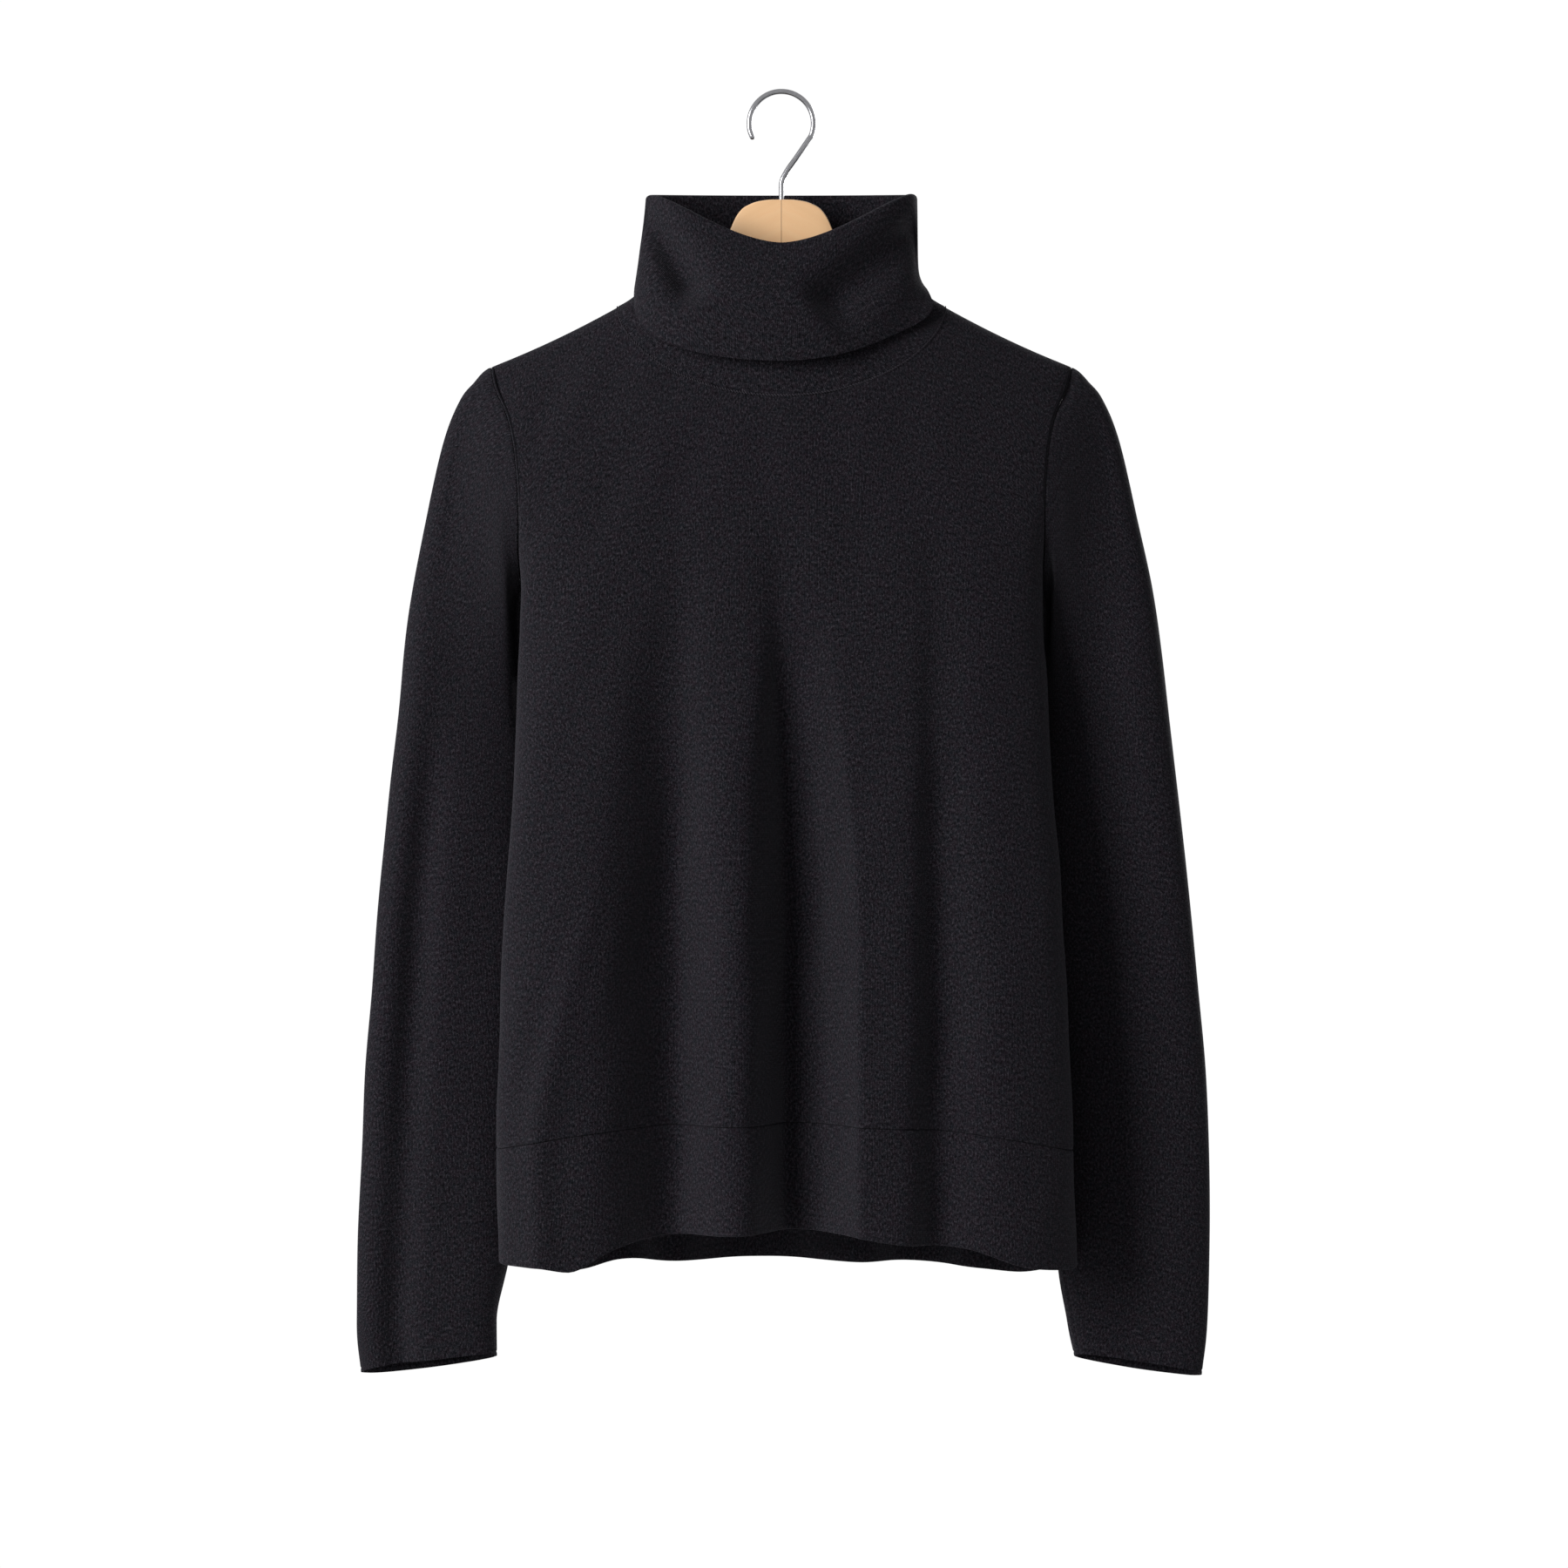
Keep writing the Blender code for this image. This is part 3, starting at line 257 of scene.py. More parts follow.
HOOK_SEAT = 0.0200        # how deep the shank sits in the head

# The rows and columns that the solid forms are read at
RIDGE_TURNS = (0.0, 6.0, 27.0, 48.0, 69.0, 90.0)
ARMHOLE_DROPS = (0.019, 0.034, 0.052, 0.074, 0.100, 0.128, 0.155, 0.176, 0.190, 0.1991)
NECK_CROWD = 1.8          # spacing of the columns round the neck, closer at the neck points
LOOP_CELLS_FRONT = 26
LOOP_CELLS_BACK = 18

# The fine meshes
EDGE_STEPS = np.array((0.0, 0.0010, 0.0022, 0.0038, 0.0060, 0.0090, 0.0130))
PANEL_HALF = 0.2          # the rough lengths that those steps are shares of
PANEL_LOWER = 0.3
BAND_LENGTH = 0.08
LAYER_LENGTH = 0.09
PANEL_CELLS = {FRONT: 142, BACK: 112}
PANEL_ROWS = {FRONT: 118, BACK: 96}
ARMHOLE_ROWS = 62
BAND_ROWS = 22
SLEEVE_ROUND_CELLS = 128
SLEEVE_LENGTH_CELLS = 176
COLLAR_TUBE_ROWS = 26
COLLAR_FOLD_ROWS = 10
COLLAR_LAYER_ROWS = 58
COLLAR_CELLS_FRONT = 110
COLLAR_CELLS_BACK = 76
COLLAR_CROWD = 1.3        # spacing of the collar's columns, closer at the neck points
NECK_CUT_CELLS = 90
NECK_CUT_REACH = 0.12     # how far before and behind the neck its opening is cut
FINE_STEPS = 1601         # points of a line that is then spaced evenly
HANGER_CELLS = 36         # round a section of the hanger
HANGER_BREAK = 0.052      # its head's rings lie closer together than its arm's
HANGER_TIP = 0.194
HOOK_STEPS = 200
WIRE_CELLS = 20
CORD_SIDES = 6

# Seams and edges as sewn
GROOVE = 0.00048          # depth of the dip along a seam
GROOVE_HALF = 0.0011
SHOULDER_PULL = 0.0016    # extra depth where the sleeve's head gathers below the shoulder
CUFF_LINE = 0.0026        # the linked line above the cuff's edge
CUFF_GROOVE = 0.00040
LINK_PITCH = 0.0019       # the chain of linking stitches round the neck
LINK_LENGTH = 0.0026
LINK_WIDTH = 0.00095
LINK_OUT = 0.00035        # how far the chain stands out of the seam
CORD_RADIUS = 0.00070     # the ridge that a linked seam leaves
SEAM_INSIDE = 0.00160     # how far inside the cloth's face the ridge lies
RIM = 0.0006              # rounding of the cuffs' and the collar's free edges
BAND_RIM = 0.0009


# ---------------------------------------------------------------- reading the tables

def column(rows, names, name):
    """One named column of a table."""
    return np.array(rows)[:, names.index(name)]


def smooth(knots, values, at):
    """Cubic Hermite curve through a table.

    Each knot's slope is the weighted mean of its two sides, or level where the table turns back.
    """
    knots = np.asarray(knots, float)
    values = np.asarray(values, float)
    steps = np.diff(knots)
    rises = np.diff(values) / steps
    slopes = np.empty_like(values)
    slopes[0] = rises[0]
    slopes[-1] = rises[-1]
    mean = (rises[:-1] * steps[1:] + rises[1:] * steps[:-1]) / (steps[:-1] + steps[1:])
    slopes[1:-1] = np.where(rises[:-1] * rises[1:] > 0.0, mean, 0.0)
    at = np.clip(at, knots[0], knots[-1])
    cell = np.clip(np.searchsorted(knots, at) - 1, 0, len(steps) - 1)
    t = (at - knots[cell]) / steps[cell]
    rest = 1.0 - t
    start = values[cell] * rest + (slopes[cell] - rises[cell]) * steps[cell] * t * rest * rest
    end = values[cell + 1] * t - (slopes[cell + 1] - rises[cell]) * steps[cell] * t * t * rest
    return start + end


def ease(t):
    """0 to 1 with level ends: 3t^2 - 2t^3."""
    t = np.clip(t, 0.0, 1.0)
    return t * t * (3.0 - 2.0 * t)


def bell(off, half):
    """1 in the middle, falling off as a Gaussian whose reach is half."""
    return np.exp(-(off / half) ** 2)


def read(rows, names, name, at):
    """A named column, read smoothly at distances along the table's first column."""
    return smooth(column(rows, names, names[0]), column(rows, names, name), at)


def unit(vectors):
    """Vectors brought to a length of 1."""
    return vectors / np.maximum(np.linalg.norm(vectors, axis=-1, keepdims=True), 1e-12)


def smooth_line(knots, line, at):
    """A line of points read smoothly at distances along its knots."""
    return np.stack([smooth(knots, line[:, axis], at) for axis in range(3)], axis=-1)


def half_width(sign, down):
    """The body's half width on the side that the sign names."""
    left = read(FORM_ROWS, FORM_COLUMNS, "left", down)
    right = read(FORM_ROWS, FORM_COLUMNS, "right", down)
    return np.where(sign < 0.0, left, right)


# ---------------------------------------------------------------- the body's form

def ridge(across):
    """The shoulder line's `down`: it falls from the neck point and flattens towards the sleeve."""
    out = np.abs(across) - NECK_HALF
    return NECK_DOWN + RIDGE_FALL * out - RIDGE_EASE * out * out


def neckline(angle, drop):
    """The neckline's `down` at an angle round the neck: a U from neck point to neck point."""
    return NECK_DOWN + drop * np.clip(np.cos(angle), 0.0, 1.0) ** NECK_POWER


def folds(rows, across, down):
    """Depth of a panel's folds: a bell across each, growing down its length.

    A crisp right bank turns into a parabola on its way down, which meets the panel in a crease.
    """
    depth = np.zeros_like(across)
    for start, full, across_start, across_full, left, right, deep, crisp in rows:
        grown = ease((down - start) / (full - start))
        middle = across_start + (across_full - across_start) * grown
        off = (across - middle) / (0.6 + 0.4 * grown)
        reach = np.where(off < 0.0, left, right)
        soft = bell(off, reach)
        bowl = np.clip(1.0 - (off / reach) ** 2, 0.0, 1.0)
        depth += deep * grown * np.where(off > 0.0, soft + (bowl - soft) * crisp * grown, soft)
    return depth


def body_point(angle, down):
    """The body's outer surface.

    Across, the section is a superellipse of the table's half widths.  Its depth is the bend over
    the hanger's arm, a quarter circle, and then a rise that fades in with the drop below the
    ridge.  Folds lie on top of it.
    """
    angle = np.asarray(angle, float) + 0.0 * down
    down = np.asarray(down, float) + 0.0 * angle
    sine = np.sin(angle)
    across = sine * half_width(sine, down)
    drop = np.clip(down - ridge(across), 0.0, None)
    bend = RIDGE_RADIUS * np.sqrt(1.0 - (1.0 - np.minimum(drop / RIDGE_RADIUS, 1.0)) ** 2)
    is_front = np.abs(angle) <= math.pi / 2
    power = np.where(is_front, SECTION_POWERS[FRONT], SECTION_POWERS[BACK])
    round_off = (1.0 - np.minimum(np.abs(sine), 1.0) ** power) ** (1.0 / power)
    side = ease((down - SIDE_START) / (SIDE_FULL - SIDE_START))
    front = read(FORM_ROWS, FORM_COLUMNS, "front", down)
    back = read(FORM_ROWS, FORM_COLUMNS, "back", down)
    full = np.where(is_front, front, back) - RIDGE_RADIUS
    depth = bend * (1.0 - side + side * round_off)
    depth = depth + full * round_off * (1.0 - np.exp(-drop / SPREAD))
    fold = np.where(is_front, folds(FRONT_FOLDS, across, down), folds(BACK_FOLDS, across, down))
    depth = depth - fold * round_off ** 0.5
    y = np.where(is_front, FRONT, BACK) * depth
    return np.stack([across, y, -down], axis=-1)


def seam_angle(face, down):
    """Where the armhole or side seam cuts the form, as an angle from the face's own centre."""
    return np.radians(read(SEAM_ROWS, SEAM_COLUMNS, "front" if face == FRONT else "back", down))


def face_point(face, turn, down):
    """A point of the front or back, `turn` being the angle from that face's own centre."""
    angle = turn if face == FRONT else math.pi - turn
    angle = np.where(angle > math.pi, angle - 2.0 * math.pi, angle)
    return body_point(angle, down)


def hem_down(face, across):
    """The hem's `down` at a place across."""
    return read(HEM_ROWS, HEM_COLUMNS, "front" if face == FRONT else "back", across)


def band_top(across):
    """The `down` of the seam between panel and hem band."""
    return BAND_TOP_MIDDLE + BAND_TOP_SIDE * (np.abs(across) / 0.19) ** 3


def turn_at(across, down):
    """The angle at which the body's surface lies at a place across."""
    side = np.where(across < 0.0, -1.0, 1.0)
    return side * np.arcsin(np.clip(np.abs(across) / half_width(across, down), 0.0, 1.0))


# ---------------------------------------------------------------- grids of the cut pieces

def arc(points, axis):
    """Length run along a grid's rows or columns, starting at 0."""
    step = np.linalg.norm(np.diff(points, axis=axis), axis=-1)
    shape = list(step.shape)
    shape[axis] = 1
    return np.concatenate([np.zeros(shape), np.cumsum(step, axis=axis)], axis=axis)


def column_shares(face):
    """Where a panel's columns stand, from -1 at one side edge to 1 at the other."""
    near = EDGE_STEPS / PANEL_HALF
    inner = np.linspace(-1.0 + near[-1], 1.0 - near[-1], PANEL_CELLS[face] + 1)
    return np.concatenate([-1.0 + near[:-1], inner, (1.0 - near[:-1])[::-1]])


def column_turns(face, shares):
    """Each column's share of the edge's angle at the ridge and at the hem.

    At the ridge the columns are spaced across; at the hem they are spaced along the cloth, folds
    included.
    """
    ridge_down = np.full_like(shares, FORM_ROWS[0][0])
    top = turn_at(shares * SHOULDER_X, ridge_down) / seam_angle(face, FORM_ROWS[0][0])
    low_edge = seam_angle(face, BAND_ROW)
    fine = np.linspace(-low_edge, low_edge, FINE_STEPS)
    length = arc(face_point(face, fine, np.full_like(fine, BAND_ROW)), 0)
    low = np.interp((shares + 1.0) / 2.0 * length[-1], length, fine)
    return top, low / low_edge


def level_at(drop):
    """How far the rows have levelled out at a drop below the ridge: 0 above, 1 at the underarm."""
    knots = np.array((RIDGE_RADIUS,) + ARMHOLE_DROPS)
    return smooth(knots, ease(np.linspace(0.0, 1.0, len(knots))), drop)


def panel_points(face):
    """Rows and columns of a front or back panel's outer surface, before its neck is cut.

    The rows start along the ridge, carried on over the neck, and level out by the underarm.
    Then they run down to the hem band's seam, whose curve the lower rows take up little by little.
    """
    shares = column_shares(face)
    top, low = column_turns(face, shares)
    turns = np.radians(np.linspace(0.0, 90.0, 13))
    bend = RIDGE_RADIUS * (1.0 - np.cos(turns))
    drops = np.concatenate([bend, np.linspace(RIDGE_RADIUS, ARMHOLE_DROPS[-1], ARMHOLE_ROWS)[1:]])
    level = level_at(drops)[:, None]
    down = ridge(shares * SHOULDER_X)[None, :] * (1.0 - level) + ridge(SHOULDER_X) * level
    down = down + drops[:, None]
    turn_share = top[None, :] * (1.0 - level) + low[None, :] * level
    seam_steps = 1.0 - EDGE_STEPS[::-1] / PANEL_LOWER
    lower = np.concatenate([np.linspace(0.0, seam_steps[0], PANEL_ROWS[face])[1:], seam_steps[1:]])
    lower = lower[:, None]
    target = band_top(band_across(face))
    down = np.concatenate([down, down[-1] * (1.0 - lower) + target * lower])
    turn_share = np.concatenate([turn_share, np.repeat(low[None, :], len(lower), axis=0)])
    edge_down = np.repeat(down[:, :1], down.shape[1], axis=1)
    points = face_point(face, turn_share * seam_angle(face, edge_down), down)
    points[0, :, 1] = face * SEAM / 2
    return points


def band_across(face):
    """Each column's place across at the band's seam."""
    low = column_turns(face, column_shares(face))[1]
    return face_point(face, low * seam_angle(face, BAND_ROW), np.full_like(low, BAND_TOP_MIDDLE))[:, 0]


def band_points(face):
    """Rows and columns of a hem band, from just below its seam to the hem."""
    turn = column_turns(face, column_shares(face))[1] * seam_angle(face, BAND_ROW)
    across = band_across(face)
    start = band_top(across) + SEAM
    end = hem_down(face, across)
    near = EDGE_STEPS / BAND_LENGTH
    share = np.concatenate([near[:-1], np.linspace(near[-1], 1.0, BAND_ROWS)])[:, None]
    return face_point(face, turn[None, :], start * (1.0 - share) + end * share)


def side_gap(points, gap):
    """Draw a panel's two side edges back along its rows by half a gap."""
    moved = points.copy()
    for edge, inner in ((0, 1), (-1, -2)):
        moved[:, edge] += unit(points[:, inner] - points[:, edge]) * gap / 2
    return moved


# ---------------------------------------------------------------- sleeves

def armhole_edge(face, side, drop):
    """A point of a panel's armhole edge, at a drop below the shoulder."""
    down = ridge(SHOULDER_X) + drop
    top = turn_at(np.array(SHOULDER_X), np.array(FORM_ROWS[0][0])) / seam_angle(face, FORM_ROWS[0][0])
    level = level_at(drop)
    turn = side * (top * (1.0 - level) + level) * seam_angle(face, down)
    return face_point(face, turn, down)


def armhole_loop(side, angle):
    """The loop where a sleeve meets the body, at angles from the shoulder round by the front."""
    rows = np.arange(len(RIDGE_TURNS) + len(ARMHOLE_DROPS))
    bends = rows[:len(RIDGE_TURNS)]
    place = np.mod(angle, 2.0 * math.pi) / math.pi * rows[-1]
    in_front = place <= rows[-1]
    place = np.where(in_front, place, 2.0 * rows[-1] - place)
    bend = RIDGE_RADIUS * (1.0 - np.cos(np.radians(smooth(bends, RIDGE_TURNS, place))))
    below = smooth(rows[bends[-1]:], (RIDGE_RADIUS,) + ARMHOLE_DROPS, place)
    drop = np.where(place < bends[-1], bend, below)
    front = armhole_edge(FRONT, side, drop)
    back = armhole_edge(BACK, side, drop)
    loop = np.where(in_front[:, None], front, back)
    return loop + np.array([side * SLEEVE_SEAM, 0.0, 0.0])


def sleeve_ring(side, share, angle):
    """A flattened ring round the sleeve, between its outer and inner edges.

    Position = middle + half the width * cosine, and towards the front the depth * the root of
    1 less a power of the cosine.
    """
    reach = np.linspace(0.0, 1.0, len(SLEEVE_ROWS))
    values = {}
    for name in SLEEVE_COLUMNS:
        values[name] = smooth(reach, column(SLEEVE_ROWS, SLEEVE_COLUMNS, name), share)
    hand = "_left" if side < 0 else "_right"
    outer_x = side * values["outer" + hand]
    inner_x = side * values["inner" + hand]
    outer_y = values["outer_y"] + SLEEVE_SWING[side] * ease(share / SWING_SHARE)
    outer = np.stack([outer_x, outer_y, -values["outer_down"]], axis=-1)
    inner = np.stack([inner_x, values["inner_y"], -values["inner_down"]], axis=-1)
    middle = (outer + inner) / 2
    half = (outer - inner) / 2
    flatness = np.clip(1.0 - np.abs(np.cos(angle)) ** SLEEVE_FLAT, 0.0, 1.0) ** 0.5
    rise = values["depth"] * np.sign(np.sin(angle)) * flatness
    points = middle + half * np.cos(angle)[..., None]
    points[..., 1] -= rise
    points[..., 2] += CUFF_TILT * rise * ease((share - CUFF_TILT_FROM) / (1.0 - CUFF_TILT_FROM))
    return points


def crowded(cells, lobes, amount):
    """0 to 1 in uneven steps: t less a sine of so many lobes, so the steps shrink between lobes."""
    t = np.linspace(0.0, 1.0, cells + 1)
    return t - amount * np.sin(2.0 * math.pi * lobes * t) / (2.0 * math.pi * lobes)


def sleeve_points(side):
    """Rings of a sleeve from the armhole to the cuff; the last column repeats the first.

    The columns start at the underarm seam.  Each ring is the flattened ring, carried over to the
    armhole's own loop near the body, with long dents pushed in towards its middle.
    """
    start = math.radians(SLEEVE_SEAM_AT[side])
    angle = start + 2.0 * math.pi * crowded(SLEEVE_ROUND_CELLS, 2, 0.72)[:-1]
    share = crowded(SLEEVE_LENGTH_CELLS, 1, 0.74)[:, None]
    rings = sleeve_ring(side, share, np.repeat(angle[None, :], len(share), axis=0))
    even = np.linspace(0.0, 2.0 * math.pi, 30, endpoint=False)
    middle = sleeve_ring(side, share, np.repeat(even[None, :], len(share), axis=0)).mean(axis=1)
    run = arc(middle, 0)
    keep = 1.0 - ease(run / ARMHOLE_REACH)
    rings = rings + keep[:, None, None] * (armhole_loop(side, angle) - rings[0])[None, :, :]
    loop_middle = armhole_loop(side, even).mean(axis=0) - middle[0]
    centre_y = (middle + keep[:, None] * loop_middle)[:, 1:2]
    degrees = np.degrees(np.mod(angle, 2.0 * math.pi))[None, :]
    faded = SLEEVE_DENT_FADE * ease((run - SLEEVE_DENT_FADES) / SLEEVE_DENT_EASE)
    grown = ease((run - SLEEVE_DENT_START) / SLEEVE_DENT_EASE) * (1.0 - faded)
    for shoulder, cuff, half, depth in SLEEVE_DENTS[side]:
        place = shoulder + (cuff - shoulder) * share
        inward = np.sign(centre_y - rings[..., 1])
        rings[..., 1] += depth * grown[:, None] * bell(degrees - place, half) * inward
    return np.concatenate([rings, rings[:, :1]], axis=1)


# ---------------------------------------------------------------- collar

def neck_angles(cells, crowd):
    """Angles from neck point to neck point, closer together at the neck points."""
    away = np.linspace(0.0, 1.0, cells // 2 + 1) ** crowd
    quarter = math.pi / 2 * (1.0 - away)
    return np.concatenate([-quarter[:-1], quarter[::-1]])


def collar_angles(front, back, crowd):
    """Angles round the whole neck, the front and then the back."""
    return np.concatenate([neck_angles(front, crowd), math.pi + neck_angles(back, crowd)[1:]])


def neck_seam(angle):
    """The neckline seam's points on the body's surface."""
    is_front = np.cos(angle) >= -1e-9
    own = np.where(is_front, angle, math.pi - angle)
    down = neckline(own, np.where(is_front, NECK_DROP_FRONT, NECK_DROP_BACK))
    turn = turn_at(NECK_HALF * np.sin(own), down)
    points = np.where(is_front[:, None], face_point(FRONT, turn, down), face_point(BACK, turn, down))
    points[:, 1] = np.where(np.abs(np.cos(angle)) < 1e-9, 0.0, points[:, 1])
    return points


def loop_point(angle, left, right, front, back, power, down):
    """A level or sagging loop: half widths left and right, depths front and back."""
    sine = np.sin(angle)
    cosine = np.cos(angle)
    x = sine * np.where(sine < 0.0, left, right)
    y = -np.sign(cosine) * np.abs(cosine) ** power * np.where(cosine > 0.0, front, back)
    return np.stack([x, y, -down], axis=-1)


def fold_loop(angle):
    """The top fold: straight across the back, sagging in front between the two pinched sides."""
    cosine = np.cos(angle)
    across = np.abs(np.sin(angle))
    sag = FOLD_SAG * (1.0 - across ** 1.7) ** 1.25
    rise = (FOLD_DOWN_SIDE - FOLD_DOWN_BACK) * np.clip(-cosine, 0.0, 1.0) ** 0.5
    down = FOLD_DOWN_SIDE + np.where(cosine > 0.0, sag, -rise)
    return loop_point(angle, FOLD_HALF, FOLD_HALF, FOLD_FRONT, FOLD_BACK, FOLD_PINCH, down)


def edge_loop(angle):
    """The turned-down layer's free edge, which dips in front and a little behind."""
    cosine = np.cos(angle)
    fall = np.where(np.sin(angle) > 0.0, EDGE_FALL_RIGHT, EDGE_FALL)
    front = (EDGE_DOWN_FRONT - EDGE_DOWN_SIDE) * np.clip(cosine, 0.0, 1.0) ** fall
    back = (EDGE_DOWN_BACK - EDGE_DOWN_SIDE) * np.clip(-cosine, 0.0, 1.0) ** EDGE_FALL
    down = EDGE_DOWN_SIDE + front + back
    loop = loop_point(angle, EDGE_LEFT, EDGE_RIGHT, EDGE_FRONT, EDGE_BACK, EDGE_SQUARE, down)
    off = np.degrees(angle) - EDGE_KICK_AT
    loop[:, 0] += EDGE_KICK * bell(off, EDGE_KICK_HALF)
    return loop


def outward(loop_of, angle):
    """Unit vectors across a closed loop seen from above, pointing away from its inside."""
    knots = collar_angles(LOOP_CELLS_FRONT, LOOP_CELLS_BACK, NECK_CROWD)
    loop = loop_of(knots[:-1])
    ahead = np.roll(loop, -1, axis=0) - np.roll(loop, 1, axis=0)
    across = unit(np.stack([-ahead[:, 1], ahead[:, 0], np.zeros(len(loop))], axis=-1))
    pointing = np.sum(across * loop, axis=1, keepdims=True)
    across = across * np.where(pointing.sum() < 0.0, -1.0, 1.0)
    across = np.concatenate([across, across[:1]])
    return smooth_line(knots, across, angle)


def dent_shares(tube_rows, layer_shares):
    """How much of a dent each row takes: the tube's share, rising to 1 down the outer layer."""
    layer = TUBE_DENT + (1.0 - TUBE_DENT) * ease(layer_shares / 0.3)
    return np.concatenate([np.full(tube_rows, TUBE_DENT), layer])


def dented(points, rows, taken):
    """Push a front surface back along lines: a bell across each, soft at its ends."""
    moved = points.copy()
    x = points[..., 0]
    down = -points[..., 2]
    facing = np.clip(-points[..., 1] / np.where(x < 0.0, *DENT_REACH), 0.0, 1.0)
    for x0, down0, x1, down1, above, below, depth in rows:
        length = math.hypot(x1 - x0, down1 - down0)
        ux = (x1 - x0) / length
        ud = (down1 - down0) / length
        along = (x - x0) * ux + (down - down0) * ud
        aside = (x - x0) * -ud + (down - down0) * ux
        ends = ease(along / DENT_EASE + 0.5) * ease((length - along) / DENT_EASE + 0.5)
        bank = bell(aside, np.where(aside > 0.0, above, below))
        moved[..., 1] += taken[:, None] * depth * facing * ends * bank
    return moved


def collar_points():
    """The collar's middle surface: up the neck tube, over the fold and down the outer layer."""
    angle = collar_angles(COLLAR_CELLS_FRONT, COLLAR_CELLS_BACK, COLLAR_CROWD)[:-1]
    seam = neck_seam(angle)
    away = outward(fold_loop, angle)
    base = seam - outward(neck_seam, angle) * (CLOTH / 2 + SEAM) + np.array([0.0, 0.0, SEAM])
    fold = fold_loop(angle)
    edge = edge_loop(angle)
    rows = []
    for share in np.linspace(0.0, 1.0, COLLAR_TUBE_ROWS + 1) ** TUBE_START:
        lean = 1.0 - (1.0 - share) ** TUBE_LEAN
        level = base * (1.0 - share) + (fold - away * FOLD_BEND) * share
        level[:, 0] = base[:, 0] * (1.0 - lean) + (fold - away * FOLD_BEND)[:, 0] * lean
        rows.append(level)
    for turn in np.linspace(0.0, math.pi, COLLAR_FOLD_ROWS + 1)[1:]:
        lift = np.array([0.0, 0.0, math.sin(turn) * FOLD_BEND])
        rows.append(fold - away * FOLD_BEND * math.cos(turn) + lift)
    cosine = np.cos(angle)[:, None]
    flare = np.where(np.sin(angle) > 0.0, FLARE_RIGHT, FLARE_LEFT)
    press = EDGE_PRESS * bell(np.degrees(angle) - EDGE_PRESS_AT, EDGE_PRESS_HALF)
    near = 1.0 - EDGE_STEPS[::-1] / LAYER_LENGTH
    tube_rows = len(rows)
    layer_shares = np.concatenate([np.linspace(0.0, near[0], COLLAR_LAYER_ROWS)[1:], near[1:]])
    for share in layer_shares:
        top = fold + away * FOLD_BEND
        level = top * (1.0 - share) + edge * share
        level[:, 0] = top[:, 0] + (edge[:, 0] - top[:, 0]) * share ** flare
        level += away * COLLAR_BULGE * math.sin(math.pi * share) * np.abs(cosine)
        level[:, 1] += press * share ** 3
        rows.append(level)
    points = dented(np.array(rows), COLLAR_DENTS, dent_shares(tube_rows, layer_shares))
    return np.concatenate([points, points[:, :1]], axis=1)


# ---------------------------------------------------------------- hanger

def hanger_rings(side):
    """Sections of one half of the hanger, from the centre joint to the tip.

    Each is a rectangle with rounded corners.  The last ring is drawn together to a point at each
    end, so that the half is closed.
    """
    head = np.linspace(HANGER_ROWS[0][0], HANGER_BREAK, 60)
    across = np.concatenate([head, np.linspace(HANGER_BREAK, HANGER_TIP, 60)[1:]])
    values = {name: read(HANGER_ROWS, HANGER_COLUMNS, name, across) for name in HANGER_COLUMNS}
    turns = (np.arange(HANGER_CELLS) + 0.5) / HANGER_CELLS * 2.0 * math.pi
    corner = values["corner"][:, None]
    flat_y = values["thick"][:, None] / 2 - corner
    flat_z = (values["bottom"] - values["top"])[:, None] / 2 - corner
    middle = (values["bottom"] + values["top"])[:, None] / 2
    y = flat_y * np.sign(np.cos(turns)) + corner * np.cos(turns)
    down = middle - flat_z * np.sign(np.sin(turns)) - corner * np.sin(turns)
    x = side * across[:, None] + 0.0 * y
    rings = np.stack([x, y, -down], axis=-1)
    first = rings[:1].mean(axis=1, keepdims=True) + 0.0 * rings[:1]
    last = rings[-1:].mean(axis=1, keepdims=True) + 0.0 * rings[-1:]
    eased = rings[:1] * 0.985 + first * 0.015
    last_eased = rings[-1:] * 0.6 + last * 0.4 + np.array([side * 0.0012, 0.0, 0.0])
    last = last + np.array([side * 0.0016, 0.0, 0.0])
    rings = np.concatenate([first, eased, rings, last_eased, last])
    return np.concatenate([rings, rings[:, :1]], axis=1)


def hook_path():
    """The wire's middle line: shank, slanted leg and bow, rounded at the two bends."""
    centre_down = HOOK_RADIUS - HOOK_WIRE / 2
    join = math.radians(HOOK_JOIN)
    join_x = HOOK_RADIUS * math.cos(join)
    join_down = centre_down - HOOK_RADIUS * math.sin(join)
    seat = HANGER_ROWS[0][1] + HOOK_SEAT
    points = [(0.0, seat), (0.0, seat - 0.5 * HOOK_SEAT), (0.0, HOOK_KNEE_DOWN + 0.005)]
    points += [(0.0007, HOOK_KNEE_DOWN + 0.0015), (0.0026, HOOK_KNEE_DOWN - 0.0025)]
    for share in (0.45, 0.75, 0.92):
        x = 0.0026 + (join_x - 0.0026) * share
        points.append((x, HOOK_KNEE_DOWN - 0.0025 + (join_down - HOOK_KNEE_DOWN + 0.0025) * share))
    for turn in np.radians(np.linspace(HOOK_JOIN, HOOK_TIP, 23)):
        points.append((HOOK_RADIUS * math.cos(turn), centre_down - HOOK_RADIUS * math.sin(turn)))
    line = np.array([(x, 0.0, -down) for x, down in points])
    length = arc(line, 0)
    return smooth_line(length, line, np.linspace(0.0, length[-1], HOOK_STEPS))


